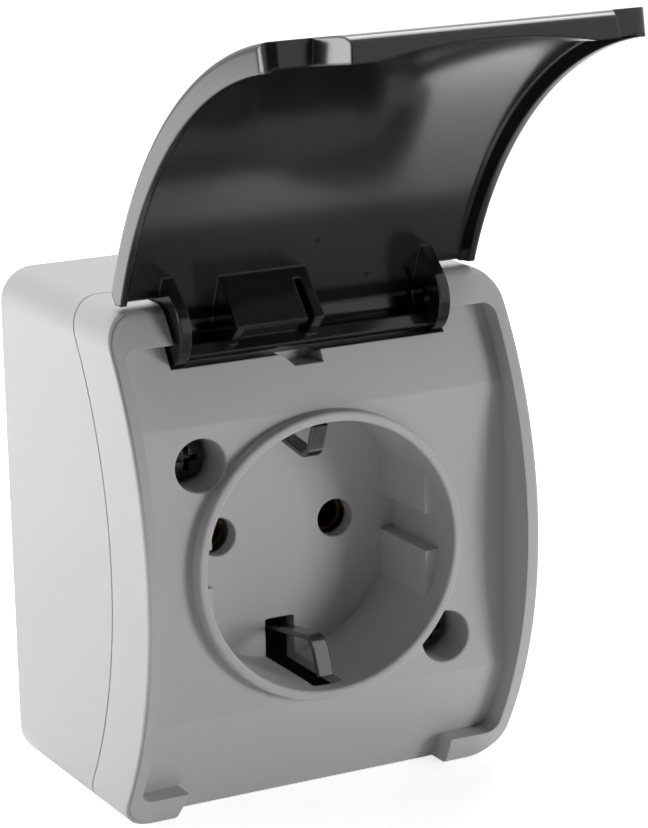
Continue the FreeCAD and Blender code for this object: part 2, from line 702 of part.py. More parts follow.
def cable_seal():
    """Flanged membrane with a stepped nipple, to be cut to the cable."""
    face_z = BOTTOM_Z + ENTRY_SEAT_GAP
    web_z0 = face_z + ENTRY_FLANGE_T
    web_z1 = BOTTOM_Z + WALL
    skin_z = web_z0 - MEMBRANE_SET
    flange_r = ENTRY_R + ENTRY_FLANGE - ENTRY_SEAT_GAP
    disc = rod_z(flange_r, 0, ENTRY_Y, face_z, web_z0)
    web = rod_z(ENTRY_R, 0, ENTRY_Y, face_z, web_z1)
    inner = rod_z(flange_r, 0, ENTRY_Y, web_z1, web_z1 + ENTRY_INNER_T)
    ring = union([disc, web, inner])
    hollow = rod_z(ENTRY_R - ENTRY_WALL, 0, ENTRY_Y, face_z - PAST, skin_z)
    hollow_top = rod_z(ENTRY_R - ENTRY_WALL, 0, ENTRY_Y, skin_z + MEMBRANE_T,
                       web_z1 + ENTRY_INNER_T + PAST)
    ring = ring.cut([hollow, hollow_top])
    base = V(0, ENTRY_Y, skin_z)
    nipple = Part.makeCone(NIPPLE_R, NIPPLE_TIP_R, NIPPLE_H, base, V(0, 0, 1))
    inside = Part.makeCone(NIPPLE_R - MEMBRANE_T, NIPPLE_TIP_R - MEMBRANE_T,
                           NIPPLE_H - MEMBRANE_T, base, V(0, 0, 1))
    return union([ring, nipple]).cut(inside)


def box_seal():
    return seal_ring()


# Screws

def cross_screw(x, z, seat_y):
    """Pan head in front of the seat with a cross recess, and the shank behind it."""
    crown = SCREW_HEAD_H * PAN_CROWN
    face_y = seat_y - SCREW_HEAD_H
    top = Part.makeCone(SCREW_HEAD_R - crown, SCREW_HEAD_R, crown, V(x, face_y, z), V(0, 1, 0))
    head = rod_y(SCREW_HEAD_R, x, z, face_y + crown, seat_y)
    shank = rod_y(SCREW_SHANK_R, x, z, seat_y - ROOT, seat_y + SCREW_LENGTH)
    span = SCREW_HEAD_R * CROSS_SPAN
    blade = span * CROSS_BLADE
    depth = face_y + SCREW_HEAD_H * CROSS_DEPTH
    level = slab(x - span, x + span, face_y - PAST, depth, z - blade, z + blade)
    upright = slab(x - blade, x + blade, face_y - PAST, depth, z - span, z + span)
    return union([top, head, shank]).cut(level.fuse(upright))


def slot_screw(x, z, seat_y, head_r, head_h, shank_r, length):
    """Cheese head with a driver slot right across it."""
    face_y = seat_y - head_h
    head = rod_y(head_r, x, z, face_y, seat_y)
    shank = rod_y(shank_r, x, z, seat_y - ROOT, seat_y + length)
    slot = slab(x - head_r, x + head_r, face_y - PAST, face_y + head_h / 2,
                z - DRIVER_SLOT / 2, z + DRIVER_SLOT / 2)
    return union([head, shank]).cut(slot)


def cover_screws():
    seat = SCREW_SEAT_Y - SEAL_WASHER_T
    return Part.makeCompound([cross_screw(x, z, seat) for x, z in screw_places()])


def cover_screw_seals():
    rings = []
    for x, z in screw_places():
        ring = rod_y(SEAL_WASHER_R, x, z, SCREW_SEAT_Y - SEAL_WASHER_T, SCREW_SEAT_Y)
        rings.append(ring.cut(rod_y(SCREW_SHANK_R, x, z, FRONT_Y, 0)))
    return Part.makeCompound(rings)


def carrier_screws():
    seat = POST_Y - EAR_T
    return Part.makeCompound([
        slot_screw(x, z, seat, CARRIER_SCREW_HEAD_R, CARRIER_SCREW_HEAD_H, CARRIER_SCREW_R,
                  EAR_T + CARRIER_SCREW_GRIP)
        for x, z in carrier_ears()])


def terminal_places():
    return [(-TERMINAL_X, 0), (TERMINAL_X, 0), (0, -TERMINAL_DROP)]


def terminal_screws():
    seat = CLAMP_Y - CLAMP_T
    length = CLAMP_T + WIRE_GAP + PLATE_T + TERMINAL_THREAD
    return Part.makeCompound([
        slot_screw(x, z, seat, TERMINAL_HEAD_R, TERMINAL_HEAD_H, TERMINAL_SCREW_R, length)
        for x, z in terminal_places()])


# Contacts and their carrier

def contact_carrier():
    w = CARRIER_HALF_X
    h = CARRIER_HALF_Z
    r = CARRIER_CORNER_R
    body = prism_y([(-w, -h, r), (w, -h, r), (w, h, r), (-w, h, r)],
                   CARRIER_FRONT_Y, CARRIER_BACK_Y)
    ears = []
    for x, z in carrier_ears():
        side_z = math.copysign(h - EAR_ROOT, z)
        z0, z1 = sorted([side_z, z])
        ears.append(rod_y(EAR_R, x, z, POST_Y - EAR_T, POST_Y))
        ears.append(slab(x - EAR_R, x + EAR_R, POST_Y - EAR_T, POST_Y, z0, z1))
    body = union([body] + ears)
    back = CARRIER_BACK_Y - POCKET_FLOOR
    front = CARRIER_FRONT_Y - PAST
    below = -h - PAST
    tools = [slab(-CHANNEL_HALF, CHANNEL_HALF, front, PLATE_Y, below, h + PAST)]
    room = TERMINAL_ROOM
    drill = PLATE_Y + PLATE_T + TERMINAL_THREAD + DRILL_SPARE
    for side in (-1, 1):
        x = side * PIN_X
        tools.append(rod_y(POCKET_R, x, 0, front, back))
        x0, x1 = sorted([x, side * (TERMINAL_X + TERMINAL_HALF + room)])
        tools.append(slab(x0, x1, front, PLATE_Y, -TERMINAL_HALF - room, TERMINAL_HALF + room))
        x0, x1 = sorted([side * (TERMINAL_X - WIRE_HALF), side * (TERMINAL_X + WIRE_HALF)])
        tools.append(slab(x0, x1, CLAMP_Y - PAST, PLATE_Y - PLATE_T, below, 0))
    wide = CLAMP_HALF + room
    tools.append(slab(-wide, wide, front, PLATE_Y, below, wide - TERMINAL_DROP))
    for x, z in terminal_places():
        tools.append(rod_y(TERMINAL_SCREW_R + BORE_ROOM, x, z, CARRIER_FRONT_Y, drill))
    for x, z in carrier_ears():
        tools.append(rod_y(CARRIER_SCREW_R, x, z, FRONT_Y, 0))
    tools.append(rod_y(RIVET_R, 0, TERMINAL_DROP, FRONT_Y, 0))
    sunk = CARRIER_BACK_Y - RIVET_HEAD_H - RIVET_SINK
    tools.append(rod_y(RIVET_HEAD_R + BORE_ROOM, 0, TERMINAL_DROP, sunk, 0))
    return body.cut(tools)


def pin_contact(side):
    """A slit sleeve for the plug pin, with a neck to the threaded terminal plate."""
    x = side * PIN_X
    front = CARRIER_FRONT_Y + SLEEVE_INSET
    outer = SLEEVE_R + SLEEVE_T
    sleeve = rod_y(outer, x, 0, front, front + SLEEVE_LENGTH)
    sleeve = sleeve.cut(rod_y(SLEEVE_R, x, 0, FRONT_Y, 0))
    x0, x1 = sorted([x, x - side * (outer + PAST)])
    half = SLEEVE_SLIT / 2
    sleeve = sleeve.cut(slab(x0, x1, FRONT_Y, 0, -half, half))
    x0, x1 = sorted([x + side * (SLEEVE_R + SLEEVE_T / 2), side * (TERMINAL_X + TERMINAL_HALF)])
    plate = slab(x0, x1, PLATE_Y - PLATE_T, PLATE_Y, -TERMINAL_HALF, TERMINAL_HALF)
    body = union([sleeve, plate])
    return body.cut(rod_y(TERMINAL_SCREW_R, side * TERMINAL_X, 0, FRONT_Y, 0))


def contact_springs():
    """A split steel ring round each sleeve, on the pin's side of the plate."""
    rings = []
    outer = SLEEVE_R + SLEEVE_T
    y0 = PLATE_Y + SPRING_BEHIND
    for side in (-1, 1):
        x = side * PIN_X
        ring = rod_y(outer + SPRING_T, x, 0, y0, y0 + SPRING_W)
        ring = ring.cut(rod_y(outer, x, 0, FRONT_Y, 0))
        x0, x1 = sorted([x, x - side * (outer + SPRING_T + PAST)])
        rings.append(ring.cut(slab(x0, x1, FRONT_Y, 0, -SPRING_GAP / 2, SPRING_GAP / 2)))
    return Part.makeCompound(rings)


def clip_centre_line(side):
    """The earth clip's bent path, from the strap forward into the well and back to its wall."""
    base_y = PLATE_Y - STRAP_T / 2
    return [(base_y, 0, 0), (base_y, side * (WELL_R - CLIP_RISE), CLIP_BEND_R),
            (COLLAR_Y + CLIP_INNER_DEPTH, side * (WELL_R - CLIP_REACH), CLIP_BEND_R),
            (COLLAR_Y + CLIP_FRONT_DEPTH, side * (WELL_R - CLIP_FRONT_GAP), 0)]


def bent_sheet(path, thickness, x0, x1):
    """A sheet of even thickness along a path of runs and bends in the YZ plane."""
    half = thickness / 2
    left = []
    right = []
    for index, (y, z, radius) in enumerate(path):
        here = V(y, z, 0)
        ends = []
        if index > 0:
            ends.append((here - V(path[index - 1][0], path[index - 1][1], 0)).normalize())
        if index < len(path) - 1:
            ends.append((V(path[index + 1][0], path[index + 1][1], 0) - here).normalize())
        normals = [V(-d.y, d.x, 0) for d in ends]
        mitre = normals[0] if len(normals) == 1 else (normals[0] + normals[1]).normalize()
        stretch = half / mitre.dot(normals[0])
        turn = 0.0
        if len(ends) == 2:
            turn = math.copysign(1.0, ends[0].cross(ends[1]).z)
        near = max(radius - turn * half, 0) if radius else 0
        far = max(radius + turn * half, 0) if radius else 0
        a = here + mitre * stretch
        b = here - mitre * stretch
        left.append((a.x, a.y, near))
        right.append((b.x, b.y, far))
    return prism_x(left + right[::-1], x0, x1)


def earth_strap():
    base = slab(-STRAP_HALF, STRAP_HALF, PLATE_Y - STRAP_T, PLATE_Y,
                -CARRIER_HALF_Z - STRAP_OVERHANG, CARRIER_HALF_Z + STRAP_OVERHANG)
    pad = slab(-CLAMP_HALF, CLAMP_HALF, PLATE_Y - STRAP_T, PLATE_Y,
               -TERMINAL_DROP - CLAMP_HALF, -TERMINAL_DROP + CLAMP_HALF)
    fingers = [bent_sheet(clip_centre_line(side), STRAP_T, -CLIP_HALF, CLIP_HALF)
               for side in (-1, 1)]
    body = union([base, pad] + fingers)
    body = body.cut(rod_y(TERMINAL_SCREW_R, 0, -TERMINAL_DROP, FRONT_Y, 0))
    return body.cut(rod_y(RIVET_R, 0, TERMINAL_DROP, FRONT_Y, 0))


def earth_rivet():
    front = PLATE_Y - STRAP_T
    back = CARRIER_BACK_Y - RIVET_SUNK
    shank = rod_y(RIVET_R, 0, TERMINAL_DROP, front - ROOT, back)
    head = rod_y(RIVET_HEAD_R, 0, TERMINAL_DROP, front - RIVET_HEAD_H, front)
    tail = rod_y(RIVET_HEAD_R, 0, TERMINAL_DROP, CARRIER_BACK_Y - RIVET_HEAD_H - RIVET_SINK, back)
    return union([shank, head, tail])


def clamp_plate(x, z):
    """A clamp plate with its two ends turned down beside the wire."""
    y0 = CLAMP_Y - CLAMP_T
    body = slab(x - CLAMP_HALF, x + CLAMP_HALF, y0, CLAMP_Y, z - CLAMP_HALF, z + CLAMP_HALF)
    for side in (-1, 1):
        x0, x1 = sorted([x + side * CLAMP_HALF, x + side * (CLAMP_HALF - CLAMP_LIP_T)])
        lip = slab(x0, x1, y0, CLAMP_Y + CLAMP_LIP, z - CLAMP_HALF, z + CLAMP_HALF)
        body = body.fuse(lip)
    body = body.removeSplitter()
    return body.cut(rod_y(TERMINAL_SCREW_R, x, z, FRONT_Y, 0))


# Files

nodes = {
    "back_box": back_box(),
    "box_seal": box_seal(),
    "front_cover": front_cover(),
    "lid": lid(),
    "hinge_pin_left": hinge_pin(-1),
    "hinge_pin_right": hinge_pin(1),
    "cover_screws": cover_screws(),
    "cover_screw_seals": cover_screw_seals(),
    "cable_seal": cable_seal(),
    "contact_carrier": contact_carrier(),
    "carrier_screws": carrier_screws(),
    "live_contact": pin_contact(-1),
    "neutral_contact": pin_contact(1),
    "contact_springs": contact_springs(),
    "earth_strap": earth_strap(),
    "earth_rivet": earth_rivet(),
    "live_clamp": clamp_plate(-TERMINAL_X, 0),
    "neutral_clamp": clamp_plate(TERMINAL_X, 0),
    "earth_clamp": clamp_plate(0, -TERMINAL_DROP),
    "terminal_screws": terminal_screws(),
}

for name, shape in nodes.items():
    shape.exportStep("parts/" + name + ".step")
    print(name, len(shape.Solids), shape.isValid(), round(shape.Volume, 1))
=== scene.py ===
# %% [markdown]
# # An outdoor wall socket with a smoke-black lid
# This lesson dresses a finished mechanical model. The frame holds every real piece at its real size.
# What the eye sees up close, such as softly rounded mouldings, gloss and spring clips, is made here.
# All shapes are drawn in millimetres, with the wall at y = 0 and the front looking along -Y.

# %% Load the frame
import json
import math

import bmesh
import bpy
from mathutils import Matrix, Vector


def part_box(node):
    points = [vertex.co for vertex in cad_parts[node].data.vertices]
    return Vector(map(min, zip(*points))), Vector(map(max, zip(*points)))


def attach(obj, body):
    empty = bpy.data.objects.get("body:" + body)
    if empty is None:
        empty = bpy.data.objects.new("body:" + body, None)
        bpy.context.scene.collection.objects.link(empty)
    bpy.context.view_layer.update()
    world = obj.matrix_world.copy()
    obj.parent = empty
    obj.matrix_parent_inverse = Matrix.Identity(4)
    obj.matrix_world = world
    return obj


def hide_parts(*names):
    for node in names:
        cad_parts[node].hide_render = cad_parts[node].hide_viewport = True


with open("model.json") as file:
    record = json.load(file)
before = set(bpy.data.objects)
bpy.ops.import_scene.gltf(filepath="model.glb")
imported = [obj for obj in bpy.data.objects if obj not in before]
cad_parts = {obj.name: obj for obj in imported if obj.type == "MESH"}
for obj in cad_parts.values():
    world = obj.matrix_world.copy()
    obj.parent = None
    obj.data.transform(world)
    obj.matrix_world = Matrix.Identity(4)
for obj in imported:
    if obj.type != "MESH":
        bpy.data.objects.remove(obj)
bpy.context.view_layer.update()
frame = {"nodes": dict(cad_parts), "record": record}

MM = 0.001
nodes = frame["nodes"]
print("nodes in the frame:", len(nodes))

# %% [markdown]
# ## Driving sizes
# The outer sizes come from the frame itself, so the dressed part can't drift from the mechanical
# one. The others are sizes that both mouldings share. A size that only one form needs stands just
# before that form.

# %% Sizes of the housing and the hinge
cover_low, cover_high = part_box("front_cover")
HALF_W = cover_high.x / MM
HALF_H = cover_high.z / MM
FRONT_Y = cover_low.y / MM
BOW_R = 61.0
BOW_Y = FRONT_Y + BOW_R
WALL = 2.0
ARM_HEIGHT = 4.9
ARM_Z = HALF_H - ARM_HEIGHT
EAR_HEIGHT = 4.7
EAR_Z = EAR_HEIGHT - HALF_H
ARM_HALF = 21.4
EAR_HALF = 21.2
CURL_R = 4.6
LID_PROUD = 2.2
LID_R = BOW_R + LID_PROUD
HINGE_BELOW_TOP = 3.6
HINGE_REACH = LID_R - CURL_R
HINGE_Z = HALF_H - HINGE_BELOW_TOP
HINGE_Y = BOW_Y - math.sqrt(HINGE_REACH ** 2 - HINGE_Z ** 2)
HINGE_ANGLE = 180 - math.degrees(math.atan2(HINGE_Z, BOW_Y - HINGE_Y))
WIDE = 40
print("housing", round(2 * HALF_W, 1), "x", round(2 * HALF_H, 1), "mm, front at", round(FRONT_Y, 1))

# %% [markdown]
# ## Helpers that make closed solids
# A moulding is drawn as a designer draws it: an outline with rounded corners, pushed straight or
# turned round a line, then joined with or cut by others. Outlines get short steps only on their
# arcs, so curves stay smooth and flats stay plain.

# %% Outlines
ARC_STEP = 0.5
FINE_STEP = 0.3


def rounded(corners, step=ARC_STEP):
    """Points round an outline whose corners are (u, v, radius)."""
    points = []
    for index, (u, v, radius) in enumerate(corners):
        here = Vector((u, v))
        if radius == 0:
            points.append(here)
            continue
        back = (Vector(corners[index - 1][:2]) - here).normalized()
        ahead = (Vector(corners[(index + 1) % len(corners)][:2]) - here).normalized()
        half = back.angle(ahead) / 2
        centre = here + (back + ahead).normalized() * (radius / math.sin(half))
        entry = here + back * (radius / math.tan(half)) - centre
        turn = math.pi - 2 * half
        if back.cross(ahead) > 0:
            turn = -turn
        count = max(3, math.ceil(abs(turn) * radius / step))
        for k in range(count + 1):
            points.append(centre + Matrix.Rotation(turn * k / count, 2) @ entry)
    return points


def arc(centre_u, centre_v, radius, start, stop, step=ARC_STEP):
    """Points on an arc, angles in degrees."""
    count = max(2, math.ceil(abs(math.radians(stop - start)) * radius / step))
    places = []
    for k in range(count + 1):
        a = math.radians(start + (stop - start) * k / count)
        places.append(Vector((centre_u + radius * math.cos(a), centre_v + radius * math.sin(a))))
    return places


def quarter(steps):
    """Step by step round a quarter circle, how far each point is from the corner, in radii."""
    turns = [math.radians(90 * k / steps) for k in range(steps + 1)]
    return [(1 - math.sin(a), 1 - math.cos(a)) for a in turns]


print("steps on a circle of radius 5:", len(arc(0, 0, 5, 0, 360)) - 1)

# %% [markdown]
# A closed solid is a skin over rings of points, with a cap at each end. Writing the faces by hand
# costs a few lines once, but every corner then lies exactly where the drawing puts it. Doubles are
# merged and the faces are turned outwards, because the joins below need a closed mesh.

# %% A skin over rings
WELD_DISTANCE = 1e-5


def solid(name, vertices, faces):
    mesh = bpy.data.meshes.new(name)
    mesh.from_pydata(vertices, [], faces)
    bm = bmesh.new()
    bm.from_mesh(mesh)
    bmesh.ops.remove_doubles(bm, verts=bm.verts, dist=WELD_DISTANCE)
    bmesh.ops.recalc_face_normals(bm, faces=bm.faces)
    bm.to_mesh(mesh)
    bm.free()
    piece = bpy.data.objects.new(name, mesh)
    bpy.context.scene.collection.objects.link(piece)
    return piece


def joined_rings(name, rings):
    """A skin over rings of equally many points, with a cap at each end."""
    count = len(rings[0])
    vertices = [tuple(p) for ring in rings for p in ring]
    faces = []
    for i in range(len(rings) - 1):
        j = i + 1
        for k in range(count):
            m = (k + 1) % count
            faces.append((i * count + k, i * count + m, j * count + m, j * count + k))
    faces.append(tuple(range(count))[::-1])
    faces.append(tuple((len(rings) - 1) * count + k for k in range(count)))
    return solid(name, vertices, faces)


print("doubles merged within", WELD_DISTANCE, "mm")

# %% [markdown]
# Nearly every form of a moulding is an outline pushed straight, a section turned about an X line, or
# a profile turned about a Y line. Blender's Solidify and Screw modifiers do the same on an object.
# Plain functions are used here, because their results go straight on into joins and cuts.

# %% Prisms, wheels and turned forms
def prism_y(points, y0, y1):
    return joined_rings("prism", [[(p[0], y, p[1]) for p in points] for y in (y0, y1)])


def prism_x(points, x0, x1):
    return joined_rings("prism", [[(x, p[0], p[1]) for p in points] for x in (x0, x1)])


def wheel(section, centre_y, centre_z, start, stop, step=ARC_STEP):
    """Section (x, r) turned about an X line; angle 0 is +Y, 90 is +Z and 180 is the front."""
    reach = max(abs(p[1]) for p in section)
    count = max(4, math.ceil(math.radians(stop - start) * reach / step))
    rings = []
    for k in range(count + 1):
        a = math.radians(start + (stop - start) * k / count)
        rings.append([(p[0], centre_y + p[1] * math.cos(a), centre_z + p[1] * math.sin(a))
                      for p in section])
    return joined_rings("wheel", rings)


def rod_y(radius, x, z, y0, y1, step=ARC_STEP):
    return prism_y(arc(x, z, radius, 0, 360, step)[:-1], y0, y1)


def rod_x(radius, y, z, x0, x1, step=ARC_STEP):
    return prism_x(arc(y, z, radius, 0, 360, step)[:-1], x0, x1)


def turned(profile, x, z, step=ARC_STEP):
    """A profile of (radius, y) turned about a line along Y through (x, z)."""
    reach = max(p[0] for p in profile)
    count = max(24, math.ceil(2 * math.pi * reach / step))
    rings = []
    for radius, y in profile:
        rings.append([(x + radius * math.cos(2 * math.pi * k / count), y,
                       z + radius * math.sin(2 * math.pi * k / count)) for k in range(count)])
    return joined_rings("turned", rings)


def hole_y(radius, x, z, mouth_y, end_y, lead=0.3, step=FINE_STEP):
    """A round hole cutter whose mouth has a small radius."""
    profile = [(radius + lead, mouth_y - 1)]
    profile += [(radius + lead * side, mouth_y + lead * deep) for side, deep in quarter(4)]
    profile.append((radius, end_y))
    return turned(profile, x, z, step)


def slab(x0, x1, y0, y1, z0, z1):
    return prism_y([(x0, z0), (x1, z0), (x1, z1), (x0, z1)], y0, y1)


print("a pin hole's cutter has", len(quarter(4)) + 2, "rings")

# %% [markdown]
# The forms are joined and cut with Boolean modifiers that are applied at once. The Manifold solver
# needs closed meshes and gives closed meshes back, so one measure of volume and loose edges shows
# whether a moulding is still sound.

# %% Join, cut and measure
def combine(piece, tools, how):
    """Join, cut or keep the common part, one tool after another."""
    for tool in tools:
        step = piece.modifiers.new("step", "BOOLEAN")
        step.operation = how
        step.solver = "MANIFOLD"
        step.object = tool
    graph = bpy.context.evaluated_depsgraph_get()
    mesh = bpy.data.meshes.new_from_object(piece.evaluated_get(graph))
    piece.modifiers.clear()
    piece.data = mesh
    for tool in tools:
        bpy.data.objects.remove(tool)
    return piece


def join(piece, *tools):
    return combine(piece, tools, "UNION")


def cut(piece, *tools):
    return combine(piece, tools, "DIFFERENCE")


def common(piece, *tools):
    return combine(piece, tools, "INTERSECT")


def measure(piece):
    """Volume in cubic millimetres and the number of edges that don't join two faces."""
    bm = bmesh.new()
    bm.from_mesh(piece.data)
    volume = bm.calc_volume()
    loose = sum(not edge.is_manifold for edge in bm.edges)
    bm.free()
    return round(volume, 1), loose


print("helpers that join, cut and measure are ready")

# %% [markdown]
# ## Finishing a moulding
# The large edges are rounded in the shape itself, where they show in the outline. The small radius
# that every moulded edge has comes later, from a Bevel node in the finish, because a Bevel modifier
# tears faces that have holes in them. Here a shape goes from millimetres to metres and takes its
# finish, its body and the node that it stands for. Weighted normals keep its large faces evenly
# shaded.

# %% Finish helper
SMOOTH_ANGLE = math.radians(32)


def finish(piece, name, material, body, replaced):
    """Name a finished piece and say what it is made of, rides on and stands for."""
    piece.name = name
    print(name, "volume and loose edges:", measure(piece))
    mesh = piece.data
    mesh.transform(Matrix.Scale(MM, 4))
    mesh.materials.clear()
    mesh.materials.append(material)
    mesh.shade_smooth()
    mesh.set_sharp_from_angle(angle=SMOOTH_ANGLE)
    even = piece.modifiers.new("even_shading", "WEIGHTED_NORMAL")
    even.mode = "FACE_AREA_WITH_ANGLE"
    even.keep_sharp = True
    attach(piece, body)
    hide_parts(*replaced)
    print(name, len(mesh.polygons), "faces")
    return piece


print("edges sharper than", round(math.degrees(SMOOTH_ANGLE)), "degrees stay sharp")

# %% [markdown]
# ## Copies in a row
# The cover has two screws and the lid has a row of teeth. A small tree of geometry nodes sets copies
# of one drawn piece out along a line. Its sizes are named inputs, so the same tree serves both.

# %% A row made by geometry nodes
def row_tree():
    tree = bpy.data.node_groups.new("row_of_copies", "GeometryNodeTree")
    kinds = [("Piece", "NodeSocketObject"), ("Count", "NodeSocketInt"), ("Start", "NodeSocketVector"),
             ("Step", "NodeSocketVector"), ("Finish", "NodeSocketMaterial")]
    tree.interface.new_socket("Geometry", in_out="OUTPUT", socket_type="NodeSocketGeometry")
    for label, kind in kinds:
        tree.interface.new_socket(label, in_out="INPUT", socket_type=kind)
    given = tree.nodes.new("NodeGroupInput")
    line = tree.nodes.new("GeometryNodeMeshLine")
    drawn = tree.nodes.new("GeometryNodeObjectInfo")
    copies = tree.nodes.new("GeometryNodeInstanceOnPoints")
    real = tree.nodes.new("GeometryNodeRealizeInstances")
    paint = tree.nodes.new("GeometryNodeSetMaterial")
    out = tree.nodes.new("NodeGroupOutput")
    tree.links.new(given.outputs["Count"], line.inputs["Count"])
    tree.links.new(given.outputs["Start"], line.inputs["Start Location"])
    tree.links.new(given.outputs["Step"], line.inputs["Offset"])
    tree.links.new(given.outputs["Piece"], drawn.inputs["Object"])
    tree.links.new(line.outputs["Mesh"], copies.inputs["Points"])
    tree.links.new(drawn.outputs["Geometry"], copies.inputs["Instance"])
    tree.links.new(copies.outputs["Instances"], real.inputs["Geometry"])
    tree.links.new(real.outputs["Geometry"], paint.inputs["Geometry"])
    tree.links.new(given.outputs["Finish"], paint.inputs["Material"])
    tree.links.new(paint.outputs["Geometry"], out.inputs["Geometry"])
    return tree


def in_a_row(piece, count, start, step, material):
    """Copies of a piece drawn at the origin, as one plain mesh."""
    holder = bpy.data.objects.new(piece.name + "_row", bpy.data.meshes.new("row"))
    bpy.context.scene.collection.objects.link(holder)
    modifier = holder.modifiers.new("row", "NODES")
    modifier.node_group = row_of_copies
    values = {"Piece": piece, "Count": count, "Start": start, "Step": step, "Finish": material}
    for socket in row_of_copies.interface.items_tree:
        if socket.in_out == "INPUT":
            modifier[socket.identifier] = values[socket.name]
    graph = bpy.context.evaluated_depsgraph_get()
    mesh = bpy.data.meshes.new_from_object(holder.evaluated_get(graph))
    holder.modifiers.clear()
    holder.data = mesh
    bpy.data.objects.remove(piece)
    return holder


row_of_copies = row_tree()
print("row tree with", len(row_of_copies.nodes), "nodes")

# %% [markdown]
# ## Finishes
# The housing is a light grey moulding with a fine satin grain. The lid is a deep smoke-black
# moulding polished almost like glass. Metal parts are nickel or zinc plated, blackened, or bare
# brass. Each finish varies a little in gloss, and a moulding in tone too, because none is perfectly
# even. Noise on Object coordinates does that without any picture file or unwrapping.

# %% A material whose gloss wanders
def new_material(name):
    material = bpy.data.materials.new(name)
    material.use_nodes = True
    return material, material.node_tree, material.node_tree.nodes["Principled BSDF"]


def vary_gloss(tree, shader, pattern, rough, spread):
    """A roughness that wanders by the share of spread to either side of its value."""
    gloss = tree.nodes.new("ShaderNodeMapRange")
    gloss.inputs["To Min"].default_value = rough * (1 - spread)
    gloss.inputs["To Max"].default_value = rough * (1 + spread)
    tree.links.new(pattern.outputs["Fac"], gloss.inputs["Value"])
    tree.links.new(gloss.outputs["Result"], shader.inputs["Roughness"])


print("material helpers ready")

# %% [markdown]
# A moulded plastic has no sharp edge and no perfectly flat skin. A Bevel node rounds the edges in
# the shading alone, which is enough at a few tenths of a millimetre. A very fine bump stands for the
# grain of the mould.

# %% Moulded plastic
CLOUD_SCALE = 45.0
PLASTIC_GLOSS_SPREAD = 0.12
PIT_DEPTH = 0.00004
EDGE_R = 0.0003
LID_EDGE_RADIUS = 0.0005


def plastic(name, colour, rough, vary, grain, grain_size, edge=EDGE_R):
    """Moulded plastic: small edge radii, a slight change of tone and gloss, and a fine grain."""
    material, tree, shader = new_material(name)
    place = tree.nodes.new("ShaderNodeTexCoord")
    clouds = tree.nodes.new("ShaderNodeTexNoise")
    clouds.inputs["Scale"].default_value = CLOUD_SCALE
    clouds.inputs["Detail"].default_value = 3.0
    tree.links.new(place.outputs["Object"], clouds.inputs["Vector"])
    tone = tree.nodes.new("ShaderNodeMix")
    tone.data_type = "RGBA"
    tone.inputs["A"].default_value = (*[c * (1 - vary) for c in colour], 1)
    tone.inputs["B"].default_value = (*[min(c * (1 + vary), 1) for c in colour], 1)
    tree.links.new(clouds.outputs["Fac"], tone.inputs["Factor"])
    tree.links.new(tone.outputs["Result"], shader.inputs["Base Color"])
    vary_gloss(tree, shader, clouds, rough, PLASTIC_GLOSS_SPREAD)
    pits = tree.nodes.new("ShaderNodeTexNoise")
    pits.inputs["Scale"].default_value = grain_size
    pits.inputs["Detail"].default_value = 2.0
    tree.links.new(place.outputs["Object"], pits.inputs["Vector"])
    radius = tree.nodes.new("ShaderNodeBevel")
    radius.samples = 6
    radius.inputs["Radius"].default_value = edge
    bump = tree.nodes.new("ShaderNodeBump")
    bump.inputs["Strength"].default_value = grain
    bump.inputs["Distance"].default_value = PIT_DEPTH
    tree.links.new(radius.outputs["Normal"], bump.inputs["Normal"])
    tree.links.new(pits.outputs["Fac"], bump.inputs["Height"])
    tree.links.new(bump.outputs["Normal"], shader.inputs["Normal"])
    return material


housing_grey = plastic("housing_grey", (0.62, 0.605, 0.62), 0.55, 0.012, 0.12, 2400)
lid_black = plastic("lid_black", (0.012, 0.012, 0.013), 0.15, 0.15, 0.04, 1500, LID_EDGE_RADIUS)
seal_rubber = plastic("seal_rubber", (0.03, 0.03, 0.03), 0.7, 0.1, 0.3, 1800)
carrier_white = plastic("carrier_white", (0.55, 0.54, 0.5), 0.5, 0.02, 0.2, 1800)
print("four plastics, the lid's edges rounded by", LID_EDGE_RADIUS / MM, "mm")

# %% [markdown]
# Small metal parts are stamped or turned, so they carry fine lines along one direction. Noise that a
# Mapping node stretches gives such lines, and they only change the gloss.

# %% Metal
SCRATCH_SCALE = 2600.0
SCRATCH_STRETCH = (1.0, 0.08, 1.0)
METAL_GLOSS_SPREAD = 0.3


def metal(name, colour, rough):
    """Metal with fine drawn scratches."""
    material, tree, shader = new_material(name)
    shader.inputs["Base Color"].default_value = (*colour, 1)
    shader.inputs["Metallic"].default_value = 1.0
    place = tree.nodes.new("ShaderNodeTexCoord")
    stretch = tree.nodes.new("ShaderNodeMapping")
    stretch.inputs["Scale"].default_value = SCRATCH_STRETCH
    tree.links.new(place.outputs["Object"], stretch.inputs["Vector"])
    lines = tree.nodes.new("ShaderNodeTexNoise")
    lines.inputs["Scale"].default_value = SCRATCH_SCALE
    tree.links.new(stretch.outputs["Vector"], lines.inputs["Vector"])
    vary_gloss(tree, shader, lines, rough, METAL_GLOSS_SPREAD)
    return material


nickel = metal("nickel", (0.16, 0.155, 0.15), 0.2)
zinc = metal("zinc", (0.55, 0.55, 0.56), 0.35)
brass = metal("brass", (0.4, 0.3, 0.15), 0.32)
screw_black = metal("screw_black", (0.1, 0.1, 0.105), 0.2)
print("four metals")

# %% [markdown]
# Every node of the frame names the slot of its finish in its record. One table turns slots into
# materials, so no node is left grey. The hinge pins show beside the lid and are blackened.

